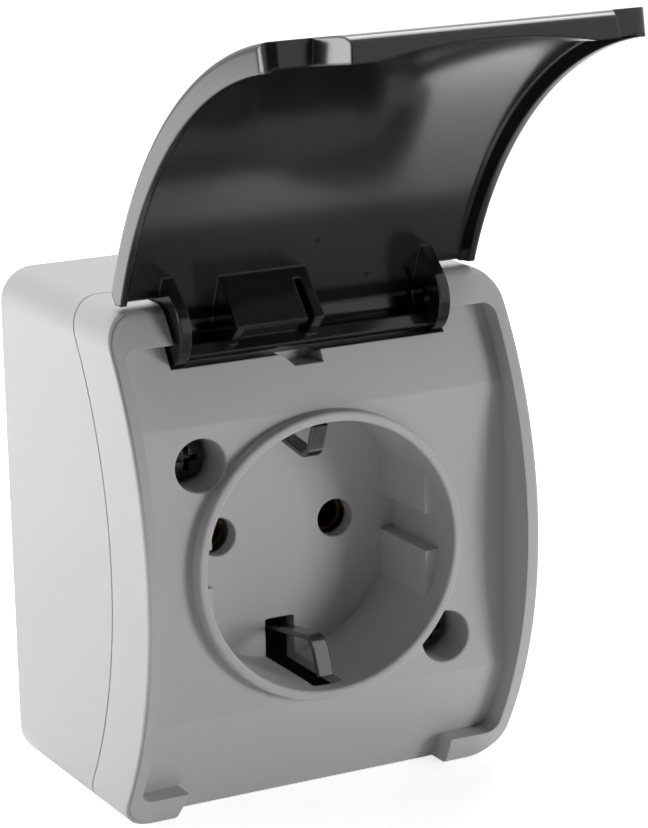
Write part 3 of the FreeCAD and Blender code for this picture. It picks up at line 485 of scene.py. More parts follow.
# %% Finishes for every node
slot_finish = {
    "housing": housing_grey, "lid": lid_black, "seal": seal_rubber, "carrier": carrier_white,
    "steel": zinc, "brass": brass, "clip": nickel,
}
for part in frame["record"]["subparts"]:
    node = nodes[part["node"]]
    node.data.materials.clear()
    node.data.materials.append(slot_finish[part["material_slot"]])
for name in ("hinge_pin_left", "hinge_pin_right"):
    nodes[name].data.materials[0] = screw_black
print("finishes on", len(nodes), "nodes")

# %% [markdown]
# ## The lid
# One moulding: a bowed plate with a rim, a finger lip, and a curl round the hinge line between two
# ribs. It is drawn shut, where its shape follows the bow of the cover, and then swung open. Places
# on its side view are given as a radius and a turn about the hinge line or about the bow's centre.

# %% Places on the lid's side view
def polar(radius, angle, centre_y=HINGE_Y, centre_z=HINGE_Z):
    a = math.radians(angle)
    return Vector((centre_y + radius * math.cos(a), centre_z + radius * math.sin(a)))


def spoke(angle):
    """A direction of length 1 across the X line, at this turn."""
    a = math.radians(angle)
    return Vector((0, math.cos(a), math.sin(a)))


def bow_angle(radius, z):
    return 180 - math.degrees(math.asin(z / radius))


def plain_section(half, r0, r1, edge=0.0):
    return rounded([(-half, r0, 0), (-half, r1, edge), (half, r1, edge), (half, r0, 0)], 0.2)


print("lid radius", LID_R, "curl radius", CURL_R)

# %% [markdown]
# Plate and side rims are one section turned about the bow's centre line. A flat plate bent by Simple
# Deform would look alike, but a turned section keeps the wall's thickness exact. The plate stops
# below the arms of the cover, and its upper corners leave them room to pass.

# %% Lid plate and rim
LID_T = 2.0
LID_INNER_R = LID_R - LID_T
LID_SIDE_GAP = 1.1
LID_HALF = HALF_W - WALL - LID_SIDE_GAP
LID_EDGE_R = 0.9
LID_ARM_GAP = 0.35
ARM_SWEEP_R = 4.2
RIM_T = 1.7
RIM_TIP_T = 1.0
RIM_DEPTH = 3.8
RIM_R = LID_R - RIM_DEPTH
RIM_TIP_ROUND = 0.25
RIM_ROOT_ROUND = 0.5
RIB_ARM_GAP = 0.4
RIB_HALF = ARM_HALF - RIB_ARM_GAP
LIP_T = 3.4
SIDE_END_Z = -30.1
SIDE_END = bow_angle(LID_R, SIDE_END_Z)


def lid_tray():
    root = LID_HALF - RIM_T
    tip = LID_HALF - RIM_TIP_T
    section = rounded([
        (-LID_HALF, RIM_R, 0), (-LID_HALF, LID_R, LID_EDGE_R), (LID_HALF, LID_R, LID_EDGE_R),
        (LID_HALF, RIM_R, 0), (tip, RIM_R, RIM_TIP_ROUND), (root, LID_INNER_R, RIM_ROOT_ROUND),
        (-root, LID_INNER_R, RIM_ROOT_ROUND), (-tip, RIM_R, RIM_TIP_ROUND)], 0.15)
    tray = wheel(section, BOW_Y, 0, HINGE_ANGLE - 2, SIDE_END)
    rim_angle = math.degrees(RIM_T / LID_R)
    wall_section = plain_section(LID_HALF, LID_R - LIP_T, LID_R, LID_EDGE_R)
    wall = wheel(wall_section, BOW_Y, 0, SIDE_END - rim_angle, SIDE_END)
    tray = cut(tray, slab(-WIDE, WIDE, -90, 20, ARM_Z - LID_ARM_GAP, 60))
    tray = cut(tray, rod_x(ARM_SWEEP_R, HINGE_Y, HINGE_Z, RIB_HALF, WIDE),
               rod_x(ARM_SWEEP_R, HINGE_Y, HINGE_Z, -WIDE, -RIB_HALF))
    return join(tray, wall)


lid = lid_tray()
print("lid plate and rim:", len(lid.data.polygons), "faces")

# %% [markdown]
# Seen from the front, the two free corners of the rim are round. A Bevel modifier can't pick out just
# these two edges of a turned shape, so each corner is cut with a small tool that has the corner's
# arc on one side.

# %% Round corners of the rim
LID_CORNER_R = 2.0


def corner_tool(side):
    """What a round corner leaves off, between a side of the rim and its free end."""
    end = math.radians(SIDE_END)
    out = spoke(SIDE_END)
    along = Vector((0, math.sin(end), -math.cos(end)))
    corner = Vector((side * LID_HALF, BOW_Y, 0)) + out * (LID_R - 2)
    inward = Vector((-side, 0, 0))
    plan = [(-1, -1), (LID_CORNER_R, -1)]
    plan += [(LID_CORNER_R * u, LID_CORNER_R * w) for u, w in quarter(8)]
    plan.append((-1, LID_CORNER_R))
    rings = []
    for reach in (-6, 6):
        rings.append([tuple(corner + out * reach + inward * u + along * w) for u, w in plan])
    return joined_rings("corner", rings)


for side in (-1, 1):
    lid = cut(lid, corner_tool(side))
print("corner radius", LID_CORNER_R)

# %% [markdown]
# A lip along the free end lets a finger lift the lid. Its outer edge is widely rounded and its two
# ends slope, so its side view is carried across the lid in stations that grow wider or narrower.
# Below it a shallow arch, cut with a very large round bar, gives the fingertip room.

# %% Finger lip
LIP_SIDE_GAP = 0.7
LIP_ROUND = 1.3
LIP_ROUND_LENGTH = 2.2
LIP_FLARE = 2.6
LIP_DRAFT = 0.5
LIP_ROOT_TURN = 1.2
LIP_UNDER_TURN = 0.4
LIP_END_Z = -35.4
LIP_END = bow_angle(LID_R, LIP_END_Z)
SCOOP_HALF = 15.0
SCOOP_DEEP = 1.4


def lid_lip():
    """The finger lip: its two ends slope together, and its outer edge is widely rounded."""
    half = EAR_HALF - LIP_SIDE_GAP
    start, stop = SIDE_END - LIP_ROOT_TURN, LIP_END
    turn = math.degrees(LIP_ROUND_LENGTH / LID_R)
    profile = [(LID_R, start + (stop - turn - start) * k / 8) for k in range(9)]
    profile += [(LID_R - LIP_ROUND * w, stop - turn * u) for u, w in quarter(8)[1:]]
    profile += [(LID_R - LIP_T, stop + LIP_UNDER_TURN), (LID_R - LIP_T, start)]
    stations = 12
    rings = []
    for station in range(-stations, stations + 1):
        ring = []
        for radius, angle in profile:
            share = min(1, max(0, (angle - SIDE_END) / (stop - SIDE_END)))
            outward = (radius - LID_R + LIP_T) / LIP_T
            width = half + LIP_FLARE * (0.5 - share) - LIP_DRAFT * outward
            point = polar(radius, angle, BOW_Y, 0)
            ring.append((width * station / stations, point.x, point.y))
        rings.append(ring)
    return joined_rings("lip", rings)


def finger_scoop():
    """A wide shallow arch under the lip, for a fingertip."""
    radius = (SCOOP_HALF ** 2 + SCOOP_DEEP ** 2) / (2 * SCOOP_DEEP)
    middle = (SIDE_END + LIP_END) / 2
    base = polar(LID_R - LIP_T + SCOOP_DEEP - radius, middle, BOW_Y, 0)
    axis = spoke(middle + 90)
    out = spoke(middle)
    rings = []
    for side in (-8, 8):
        origin = Vector((0, base.x, base.y)) + axis * side
        rings.append([tuple(origin + Vector((1, 0, 0)) * p.x + out * p.y)
                      for p in arc(0, 0, radius, 0, 360, 2.0)[:-1]])
    return joined_rings("scoop", rings)


lid = join(lid, lid_lip())
lid = cut(lid, finger_scoop())
print("lip from", round(SIDE_END, 1), "to", round(LIP_END, 1), "degrees")

# %% [markdown]
# At its other end the plate curls round the hinge line. The curl runs inside a trough of the cover,
# and a rib at each end holds a hinge pin. A rib is a disc with a web up to the plate, as a moulder
# would stiffen it.

# %% Curl and ribs
BRIDGE_DROP = 1.85
CURL_END_TURN = -2
RIB_T = 1.7
RIB_R = 5.2
RIB_END_TURN = 388
WEB_R = 7.2
WEB_TURN = 217.2
FOOT_R = 8.0
KNEE_RISE = 0.4
KNEE_TURN = 200


def lid_curl():
    start = bow_angle(LID_R, ARM_Z - BRIDGE_DROP)
    bridge = wheel(plain_section(RIB_HALF, LID_INNER_R, LID_R), BOW_Y, 0, HINGE_ANGLE, start)
    section = plain_section(RIB_HALF, CURL_R - LID_T, CURL_R)
    curl = wheel(section, HINGE_Y, HINGE_Z, CURL_END_TURN, HINGE_ANGLE, FINE_STEP)
    return [bridge, curl]


def lid_ribs():
    """Two discs at the ends of the curl, each with a web up to the plate."""
    web = polar(WEB_R, WEB_TURN)
    foot = polar(FOOT_R, WEB_TURN)
    touch_angle = WEB_TURN + math.degrees(math.acos(RIB_R / WEB_R))
    knee = polar(CURL_R + KNEE_RISE, KNEE_TURN)
    centre = polar(0, 0)
    ribs = []
    for side in (-1, 1):
        x0, x1 = sorted([side * RIB_HALF, side * (RIB_HALF - RIB_T)])
        disc = [centre] + arc(HINGE_Y, HINGE_Z, RIB_R, touch_angle, RIB_END_TURN, 0.25)
        ribs.append(prism_x(disc, x0, x1))
        ribs.append(rod_x(CURL_R - 0.2, HINGE_Y, HINGE_Z, x0, x1, FINE_STEP))
        ribs.append(prism_x([centre, web, polar(RIB_R, touch_angle)], x0 + 0.001, x1 - 0.001))
        ribs.append(prism_x([centre, knee, foot], x0 + 0.002, x1 - 0.002))
    return ribs


lid = join(lid, *lid_curl())
lid = join(lid, *lid_ribs())
print("lid before its block:", len(lid.data.polygons), "faces")

# %% [markdown]
# The off-centre block under the lid is a sloping plate between two cheeks, with a slot beside it and
# a row of fine teeth under its edge. The gaps between the teeth are one small wedge, set out in a
# row and then cut from the block.

# %% Lid block
BLOCK_LEFT, BLOCK_RIGHT = -12.3, 1.1
BLOCK_DEEP = (7.0, 205)
BLOCK_ROOT = (6.5, 214.4)
BLOCK_EDGE = (5.1, 305.8)
BLOCK_TAIL = (4.2, 387)
BLOCK_HUB = (3.4, 60)
BLOCK_HEEL = (3.4, 150)
CHEEK = 1.2
SLOT_W = 1.1
SLOT_BESIDE_CHEEK = 0.3
SLOT_OPEN = 1.2
SLOT_RUN = 6.5
LEDGE = 1.1
HOLLOW_HEEL = 0.4
HOLLOW_DEEP = 0.9
HOLLOW_RISE = 0.6
TEETH = 14
TOOTH_START = 0.15
TOOTH_END = 1.35
TOOTH_DEPTH = 0.4
TOOTH_GAP = 0.3
TOOTH_PAST = 0.05


def lid_block():
    root, edge, tail = polar(*BLOCK_ROOT), polar(*BLOCK_EDGE), polar(*BLOCK_TAIL)
    body = prism_x([polar(*BLOCK_DEEP), root, edge, tail, polar(*BLOCK_HUB), polar(*BLOCK_HEEL)],
                   BLOCK_LEFT, BLOCK_RIGHT)
    slot_right = BLOCK_RIGHT - CHEEK - SLOT_BESIDE_CHEEK
    plate_right = slot_right - SLOT_W
    down = (tail - edge).normalized()
    back = (root - edge).normalized()
    slot = prism_x([edge - back * SLOT_OPEN, edge + back * SLOT_RUN - Vector((0, 0.5)),
                    edge + back * SLOT_RUN + Vector((0, 2.2)), tail + Vector((1, -1))],
                   plate_right, slot_right)
    start, stop = edge + down * LEDGE, tail - down * HOLLOW_HEEL
    hollow = prism_x([start + Vector((1, -1)), start,
                      start + back * HOLLOW_DEEP + Vector((0, HOLLOW_RISE)),
                      Vector((stop.x + back.x * HOLLOW_DEEP, stop.y)), stop,
                      stop + Vector((1, 0))], BLOCK_LEFT + CHEEK, plate_right)
    pitch = (plate_right - BLOCK_LEFT - CHEEK) / TEETH
    rings = []
    for run in (TOOTH_START, TOOTH_END):
        p = edge + down * run - back * TOOTH_PAST
        rings.append([(-TOOTH_GAP * pitch, p.x, p.y), (TOOTH_GAP * pitch, p.x, p.y),
                      (0, p.x + back.x * TOOTH_DEPTH, p.y + back.y * TOOTH_DEPTH)])
    tooth = joined_rings("tooth", rings)
    first = (BLOCK_LEFT + CHEEK + 0.5 * pitch, 0, 0)
    gaps = in_a_row(tooth, TEETH, first, (pitch, 0, 0), lid_black)
    return cut(body, slot, hollow, gaps)


lid = join(lid, lid_block())
print("lid with its block:", len(lid.data.polygons), "faces")

# %% [markdown]
# Last come the bores for the hinge pins, the swing to the open pose, and two small spots that the
# mould leaves on the inner face. The swing turns the mesh and not the object, because a finished
# piece sits at the origin unturned.

# %% Pin bores, open pose and mould spots
OPEN_ANGLE = 128.0
PIN_BORE_R = 1.51
MOULD_SPOTS = ((2.3, 43.6), (11.2, 37.3))
SPOT_R = 0.28
SPOT_DEEP = 0.25
bores = []
for side in (-1, 1):
    x0, x1 = sorted([side * (RIB_HALF + 1), side * (RIB_HALF - RIB_T - 1)])
    bores.append(rod_x(PIN_BORE_R, HINGE_Y, HINGE_Z, x0, x1, FINE_STEP))
lid = cut(lid, *bores)
opening = Matrix.Rotation(math.radians(-OPEN_ANGLE), 4, "X")
swing = Matrix.Translation((0, HINGE_Y, HINGE_Z)) @ opening
lid.data.transform(swing @ Matrix.Translation((0, -HINGE_Y, -HINGE_Z)))
bow_centre = swing @ Vector((0, BOW_Y - HINGE_Y, -HINGE_Z))
spots = []
for x, z in MOULD_SPOTS:
    face_y = bow_centre.y + math.sqrt(LID_INNER_R ** 2 - (z - bow_centre.z) ** 2)
    spots.append(rod_y(SPOT_R, x, z, face_y - 0.6, face_y + SPOT_DEEP, 0.1))
lid = cut(lid, *spots)
print("open lid: bow centre", [round(c, 1) for c in bow_centre])
finish(lid, "lid_moulding", lid_black, "lid", ["lid"])

# %% [markdown]
# ## The front cover
# The cover is the same rounded rectangle as the box, bowed towards the room. The panel is sunk
# between two rails, two arms at the top carry the hinge and two ears close the bottom corners. It
# starts as a block whose front edge is rounded ring by ring, is cut to the bow in front, and is cut
# behind along the seam, which is the same arc set further back.

# %% Block with a rounded front edge
SKIRT = 11.7
SEAM_Y = BOW_Y + SKIRT
CORNER_R = 5.0
INNER_CORNER_R = 0.8
TOP_ROUND = 3.5
SHOULDER = 0.5
SHOULDER_TURN = 80


def box_outline(inset):
    w, h, r = HALF_W - inset, HALF_H - inset, max(CORNER_R - inset, INNER_CORNER_R)
    return rounded([(-w, -h, r), (w, -h, r), (w, h, r), (-w, h, r)], FINE_STEP)


def divided(outline, step):
    """The same outline with more points on its long sides, so that they can follow a curve."""
    points = []
    for k, here in enumerate(outline):
        ahead = outline[(k + 1) % len(outline)]
        parts = max(1, math.ceil((ahead - here).length / step))
        points += [here.lerp(ahead, part / parts) for part in range(parts)]
    return points


def shouldered_block():
    """The rounded rectangle whose front edge is rounded all the way round, following the bow."""
    outline = divided(box_outline(0), 1.0)
    rings = [[(p.x, 4, p.y) for p in outline]]
    steps = 6
    for k in range(steps + 1):
        a = math.radians(SHOULDER_TURN * k / steps)
        inset, drop = SHOULDER * (1 - math.cos(a)), SHOULDER * (1 - math.sin(a))
        scale_w, scale_h = 1 - inset / HALF_W, 1 - inset / HALF_H
        ring = []
        for p in outline:
            bow = BOW_Y - math.sqrt(BOW_R ** 2 - p.y ** 2)
            ring.append((p.x * scale_w, bow + drop, p.y * scale_h))
        rings.append(ring)
    rings.append([(x, FRONT_Y - 3, z) for x, y, z in rings[-1]])
    return joined_rings("block", rings)


def bow_profile(radius, centre_y, top_round=0.0):
    """Side view, front curve first from the bottom up, closed far behind."""
    low = bow_angle(radius, -HALF_H - 1)
    if top_round:
        centre_z = HALF_H - top_round
        reach = radius - top_round
        touch = 180 - math.degrees(math.asin(centre_z / reach))
        middle = polar(reach, touch, centre_y, 0)
        front = arc(centre_y, 0, radius, low, touch)
        front += arc(middle.x, middle.y, top_round, touch, 90, FINE_STEP)[1:]
    else:
        front = arc(centre_y, 0, radius, low, bow_angle(radius, HALF_H + 1))
    return front + [Vector((5, front[-1].y)), Vector((5, front[0].y))]


cover = common(shouldered_block(), prism_x(bow_profile(BOW_R, BOW_Y, TOP_ROUND), -WIDE, WIDE))
cover = cut(cover, prism_x(bow_profile(BOW_R, SEAM_Y), -WIDE, WIDE))
print("cover block:", measure(cover))

# %% [markdown]
# The panel lies a step behind the bow: flat in the middle, and following the bow above and below. So
# its side view is drawn once and used twice, in front to sink it and, one wall further back, to
# hollow the cover behind it. A trough between the arms takes the curl of the lid, and a small notch
# opens its lower lip.

# %% Sunk panel and trough
PANEL_STEP = 3.0
PANEL_R = BOW_R - PANEL_STEP
PANEL_FLAT_DEPTH = 6.9
PANEL_FLAT_Y = FRONT_Y + PANEL_FLAT_DEPTH
PANEL_T = 2.0
RECESS_CORNER_R = 1.8
EAR_SLANT = 0.7
TROUGH_R = 5.6
TROUGH_WALL = 1.6
NOTCH_LEFT, NOTCH_RIGHT = -4.8, 1.6
NOTCH_SLOPE = 2.0
NOTCH_DEPTH = 1.4
NOTCH_FROM_HINGE = 1.9


def panel_front(step):
    """Side view of all that lies in front of the panel, or of a surface a step further back."""
    radius = PANEL_R - step
    flat_y = PANEL_FLAT_Y + step
    half_z = math.sqrt(radius ** 2 - (BOW_Y - flat_y) ** 2)
    upper = arc(BOW_Y, 0, radius, bow_angle(radius, HALF_H + 8), bow_angle(radius, half_z))
    lower = arc(BOW_Y, 0, radius, bow_angle(radius, -half_z), bow_angle(radius, -HALF_H - 8))
    return upper + lower + [Vector((-70, lower[-1].y)), Vector((-70, upper[0].y))]


def recess():
    """Everything in front of the panel, between the rails, the arms and the ears."""
    foot = EAR_HALF + EAR_SLANT
    r = RECESS_CORNER_R
    plan = rounded([
        (-HALF_W + WALL, ARM_Z, r), (-ARM_HALF, ARM_Z, 0), (-ARM_HALF, HALF_H + 5, 0),
        (ARM_HALF, HALF_H + 5, 0), (ARM_HALF, ARM_Z, 0), (HALF_W - WALL, ARM_Z, r),
        (HALF_W - WALL, EAR_Z, r), (EAR_HALF, EAR_Z, 0), (foot, -HALF_H, 0),
        (foot, -HALF_H - 5, 0), (-foot, -HALF_H - 5, 0), (-foot, -HALF_H, 0),
        (-EAR_HALF, EAR_Z, 0), (-HALF_W + WALL, EAR_Z, r)], FINE_STEP)
    return common(prism_y(plan, -60, -5), prism_x(panel_front(0), -HALF_W, HALF_W))


def lip_notch():
    """A small notch in the lower lip of the trough, sloping at its left end."""
    lip_z = HINGE_Z - math.sqrt(TROUGH_R ** 2 - NOTCH_FROM_HINGE ** 2)
    low = lip_z - NOTCH_DEPTH
    return prism_y([(NOTCH_LEFT, lip_z + 0.6), (NOTCH_LEFT + NOTCH_SLOPE, low),
                    (NOTCH_RIGHT, low), (NOTCH_RIGHT, lip_z + 0.6)], FRONT_Y, HINGE_Y + 1)


behind_panel = cut(prism_y(box_outline(WALL), FRONT_Y, 4),
                   prism_x(panel_front(PANEL_T), -WIDE, WIDE),
                   rod_x(TROUGH_R + TROUGH_WALL, HINGE_Y, HINGE_Z, -WIDE, WIDE))
trough = rod_x(TROUGH_R, HINGE_Y, HINGE_Z, -ARM_HALF, ARM_HALF, FINE_STEP)
cover = cut(cover, recess(), trough, lip_notch(), behind_panel)
print("cover with its panel:", measure(cover))

# %% [markdown]
# The plug goes into a round well with a collar. Both are profiles turned about the well's axis, with
# their rounded mouths drawn in. Four flats stay inside the well and leave two grooves that guide the
# plug. The collar is joined to the panel before the well is cut through both.

# %% Collar and well
COLLAR_PROUD = 2.2
COLLAR_Y = PANEL_FLAT_Y - COLLAR_PROUD
COLLAR_R = 20.9
COLLAR_ROUND = 0.55
WELL_R = 19.45
WELL_DEPTH = 17.5
WELL_ROUND = 0.45
WELL_MOUTH = 2.7
WELL_TAPER_END = 5
WELL_TAPER = 0.12
FLOOR_Y = COLLAR_Y + WELL_DEPTH
FLOOR_T = 2.5
FLOOR_BACK_Y = FLOOR_Y + FLOOR_T
GUIDE_START = 4.0
FLAT_X = 16.9
FLAT_HALF = 10.2
GROOVE_HALF = 2.75


def well():
    """The round well: a rounded mouth, a slight taper, and four flats that guide the plug."""
    profile = [(WELL_R + WELL_ROUND, COLLAR_Y - 1)]
    profile += [(WELL_R + WELL_ROUND * u, COLLAR_Y + WELL_ROUND * w) for u, w in quarter(5)]
    profile += [(WELL_R, COLLAR_Y + WELL_MOUTH), (WELL_R - WELL_TAPER, COLLAR_Y + WELL_TAPER_END),
                (WELL_R - WELL_TAPER, FLOOR_Y)]
    hollow = turned(profile, 0, 0)
    flats = []
    for side in (-1, 1):
        x0, x1 = sorted([side * FLAT_X, side * (WELL_R + 1)])
        for z0, z1 in ((-FLAT_HALF, -GROOVE_HALF), (GROOVE_HALF, FLAT_HALF)):
            flats.append(slab(x0, x1, COLLAR_Y + GUIDE_START, FLOOR_Y + 1, z0, z1))
    return cut(hollow, *flats)


def collar():
    """The collar and the wall of the well behind it."""
    profile = [(COLLAR_R - COLLAR_ROUND * u, COLLAR_Y + COLLAR_ROUND * w) for u, w in quarter(5)]
    profile.append((COLLAR_R, FLOOR_BACK_Y))
    return turned(profile, 0, 0)


bosses = [collar()]
holes = [well()]
print("well", round(2 * WELL_R, 1), "mm wide and", WELL_DEPTH, "mm deep")

# %% [markdown]
# Two cover screws sit deep in round recesses. Behind each recess the cover has a tube with a floor,
# on which the screw's head rests. The places of the screws come from the frame.

# %% Screw recesses
SCREW_HEAD_R = 3.2
SCREW_RECESS_R = 3.8
SCREW_RECESS_DEEP = 7.6
SCREW_BOSS_R = 5.2
SCREW_HOLE_R = 2.1
screws_low, screws_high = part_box("cover_screws")
SCREW_X = (screws_high.x - screws_low.x) / MM / 2 - SCREW_HEAD_R
SCREW_Z = (screws_high.z - screws_low.z) / MM / 2 - SCREW_HEAD_R
SCREW_PLACES = [(-SCREW_X, SCREW_Z), (SCREW_X, -SCREW_Z)]
SCREW_SEAT_Y = PANEL_FLAT_Y + SCREW_RECESS_DEEP
for x, z in SCREW_PLACES:
    bosses.append(rod_y(SCREW_BOSS_R, x, z, PANEL_FLAT_Y + 0.5, SCREW_SEAT_Y + 2.0, 0.4))
    holes.append(hole_y(SCREW_RECESS_R, x, z, PANEL_FLAT_Y, SCREW_SEAT_Y))
    holes.append(rod_y(SCREW_HOLE_R, x, z, FRONT_Y, 0, FINE_STEP))
print("cover screws at", round(SCREW_X, 2), round(SCREW_Z, 2))

# %% [markdown]
# The floor of the well has two pin holes. At the top and the bottom of the well a slot lets an earth
# clip through, with room behind it for the strip, and each arm has a blind bore for a hinge pin. All
# come in pairs, so one loop with a side of -1 or 1 makes them.

# %% Pin holes, clip slots and hinge bores
PIN_X = 9.5
PIN_HOLE_R = 2.83
CLIP_SLOT_HALF = 2.35
CLIP_SLOT_ROUND = 0.6
CLIP_SLOT_SPAN = (13.5, 20.17)
CLIP_ROOM_HALF = 2.34
CLIP_ROOM_SPAN = (13.6, 21.4)
HINGE_BORE_R = 1.55
HINGE_BORE_DEEP = 5.2


def clip_slot(side):
    """The slot in the wall of the well through which an earth clip comes out."""
    z0, z1 = sorted(side * z for z in CLIP_SLOT_SPAN)
    w, r = CLIP_SLOT_HALF, CLIP_SLOT_ROUND
    plan = rounded([(-w, z0, r), (w, z0, r), (w, z1, r), (-w, z1, r)], 0.15)
    return prism_y(plan, COLLAR_Y + WELL_MOUTH, FLOOR_BACK_Y + 0.1)


def clip_room(side):
    """Room for the strip behind the slot."""
    z0, z1 = sorted(side * z for z in CLIP_ROOM_SPAN)
    return slab(-CLIP_ROOM_HALF, CLIP_ROOM_HALF, PANEL_FLAT_Y + PANEL_T + 0.1,
                FLOOR_BACK_Y + 0.2, z0, z1)


for side in (-1, 1):
    holes.append(hole_y(PIN_HOLE_R, side * PIN_X, 0, FLOOR_Y, FLOOR_BACK_Y + 1, 0.2, 0.25))
    holes.append(clip_slot(side))
    holes.append(clip_room(side))
    x0, x1 = sorted([side * (ARM_HALF - 1), side * (ARM_HALF + HINGE_BORE_DEEP)])
    holes.append(rod_x(HINGE_BORE_R, HINGE_Y, HINGE_Z, x0, x1, FINE_STEP))
print(len(bosses), "bosses and", len(holes), "holes")

# %% [markdown]
# All bosses are joined first and all holes are cut after them, so no boss can close a hole again.

# %% The cover in one piece
cover = join(cover, *bosses)
cover = cut(cover, *holes)
finish(cover, "cover_moulding", housing_grey, "housing", ["front_cover"])

# %% [markdown]
# ## The back box
# A plain tray with the same outline, its front edge cut to the seam curve a hair behind the cover, so
# that the seam shows as a fine dark line. Its back has two holes for wall screws, and its bottom has
# the stepped hole of the cable entry.

# %% Back box
SEAM_GAP = 0.25
BACK_WALL = 2.2
WALL_SCREW_Z = 27
WALL_SCREW_R = 2.25
ENTRY_Y = -11.0
ENTRY_R = 6.8
ENTRY_SEAT_R = 8.4


def rod_z(radius, x, y, z0, z1, step=0.4):
    circle = arc(x, y, radius, 0, 360, step)[:-1]
    return joined_rings("rod", [[(p.x, p.y, z) for p in circle] for z in (z0, z1)])


box = common(prism_y(box_outline(0), FRONT_Y - 2, 0),
             prism_x(bow_profile(BOW_R, SEAM_Y + SEAM_GAP), -WIDE, WIDE))
box = cut(box, prism_y(box_outline(WALL), FRONT_Y - 3, -BACK_WALL))
box = cut(box, *[rod_y(WALL_SCREW_R, 0, z, -20, 1, FINE_STEP)
                 for z in (WALL_SCREW_Z, -WALL_SCREW_Z)])
box = cut(box, rod_z(ENTRY_SEAT_R, 0, ENTRY_Y, -HALF_H - 1, -HALF_H + 1),
          rod_z(ENTRY_R, 0, ENTRY_Y, -HALF_H - 1, -HALF_H + 4))
finish(box, "box_moulding", housing_grey, "housing", ["back_box"])

# %% [markdown]
# ## The cover screws
# Each recess hides a blackened screw with a domed head and a cross for the driver. The head is a
# profile turned about its axis. The cross is two short tapered blades cut into it.

# %% Cover screws
SCREW_PROFILE = [(0.4, 0.0), (1.4, 0.08), (2.2, 0.32), (2.8, 0.7), (3.1, 1.1), (3.2, 1.5),
                 (3.2, 2.2), (2.0, 2.2), (2.0, 9.0), (1.6, 9.6)]
BLADE_LONG, BLADE_THIN = 1.75, 0.42
BLADE_TAPER = ((1.1, -0.3), (0.75, 1.5))


def cover_screw():
    """One screw drawn at the origin, its head's face at y = 0 and looking along -Y."""
    screw = turned(SCREW_PROFILE, 0, 0, 0.35)
    blades = []
    for a, b in ((BLADE_LONG, BLADE_THIN), (BLADE_THIN, BLADE_LONG)):
        rings = []
        for grow, y in BLADE_TAPER:
            rings.append([(-a * grow, y, -b * grow), (a * grow, y, -b * grow),
                          (a * grow, y, b * grow), (-a * grow, y, b * grow)])
        blades.append(joined_rings("blade", rings))
    screw = cut(screw, *blades)
    screw.name = "cover_screw"
    return screw


head_y = screws_low.y / MM
step = (2 * SCREW_X, 0, -2 * SCREW_Z)
screws = in_a_row(cover_screw(), len(SCREW_PLACES), (-SCREW_X, head_y, SCREW_Z), step, screw_black)
finish(screws, "cover_screw_pair", screw_black, "housing", ["cover_screws"])

# %% [markdown]
# ## The earth clips
# One strip of spring steel runs behind the well and rises through a slot at each side of it. There
# it arches over and dips back into the slot. A strip has the same flat section all along its line,
# so the section is carried along the line ring by ring.

# %% Earth strip
STRIP_T = 0.8
STRIP_EDGE_R = 0.2
CLIP_HALF = 1.2
BAR_HALF = 2.5
CLIP_BACK_Z = 16.3
CLIP_BACK_ROUND = 1.4
CLIP_CREST = (5.6, 13.25)
CLIP_CREST_ROUND = 2.3
CLIP_TIP = (3.45, 18.4)


def strip(line, half_width, thickness):
    """A flat strip along a smooth line in the YZ plane."""
    w, t, r = half_width, thickness / 2, STRIP_EDGE_R
    section = rounded([(-w, -t, r), (w, -t, r), (w, t, r), (-w, t, r)], 0.1)
    rings = []
    for index, point in enumerate(line):
        before = line[max(index - 1, 0)]
        after = line[min(index + 1, len(line) - 1)]
        along = (after - before).normalized()
        out = Vector((-along.y, along.x))
        rings.append([(p.x, point.x + out.x * p.y, point.y + out.y * p.y) for p in section])
    return joined_rings("strip", rings)


strap_low, strap_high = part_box("earth_strap")
plate_y = strap_high.y / MM - STRIP_T / 2
crest_y = COLLAR_Y + CLIP_CREST[0]
tip_y = COLLAR_Y + CLIP_TIP[0]
leaf = [(plate_y, 0, 0), (plate_y, CLIP_BACK_Z, CLIP_BACK_ROUND),
        (crest_y, CLIP_CREST[1], CLIP_CREST_ROUND), (tip_y, CLIP_TIP[1], 0)]
pieces = []
for side in (-1, 1):
    corners = [(y, side * z, r) for y, z, r in leaf]
    line = rounded(corners + [(tip_y, 0, 0)], 0.25)[:-1]
    pieces.append(strip(line, CLIP_HALF, STRIP_T))
bar = slab(-BAR_HALF, BAR_HALF, plate_y - STRIP_T / 2, plate_y + STRIP_T / 2,
           strap_low.z / MM, strap_high.z / MM)
clips = join(bar, *pieces)
finish(clips, "earth_clips", nickel, "housing", ["earth_strap"])

# %% [markdown]
# ## Camera and light
# The camera stands at the front left, a little above. Its picture is upright, so the lens is worked
# out from the picture's height.

# %% Camera
FOCAL_PX = 3287.39
PICTURE_H = 828
SENSOR_MM = 36
CAMERA_MM = Vector((-203.963, -432.94, 133.488))
azimuth, elevation, roll = (math.radians(v) for v in (-27.497, 14.375, 1.274))
back = Vector((math.sin(azimuth) * math.cos(elevation), -math.cos(azimuth) * math.cos(elevation),
               math.sin(elevation)))
right = (-back).cross(Vector((0, 0, 1))).normalized()
down = (-back).cross(right).normalized()
right_rolled = right * math.cos(roll) + down * math.sin(roll)
down_rolled = down * math.cos(roll) - right * math.sin(roll)
turn = Matrix((right_rolled, -down_rolled, back)).transposed().to_4x4()
camera = bpy.data.objects.new("camera", bpy.data.cameras.new("camera"))
camera.data.sensor_width = SENSOR_MM
camera.data.lens = FOCAL_PX / PICTURE_H * SENSOR_MM
camera.data.clip_start = 0.01
camera.matrix_world = Matrix.Translation(CAMERA_MM * MM) @ turn
bpy.context.scene.collection.objects.link(camera)
bpy.context.scene.camera = camera
print("lens", round(camera.data.lens, 1), "mm")

# %% [markdown]
# A pale room lies behind the object and is dark on the camera's side, which keeps the front quieter
# than the walls. The camera and polished surfaces see the room as plain white, so a Light Path node
# picks between the two.

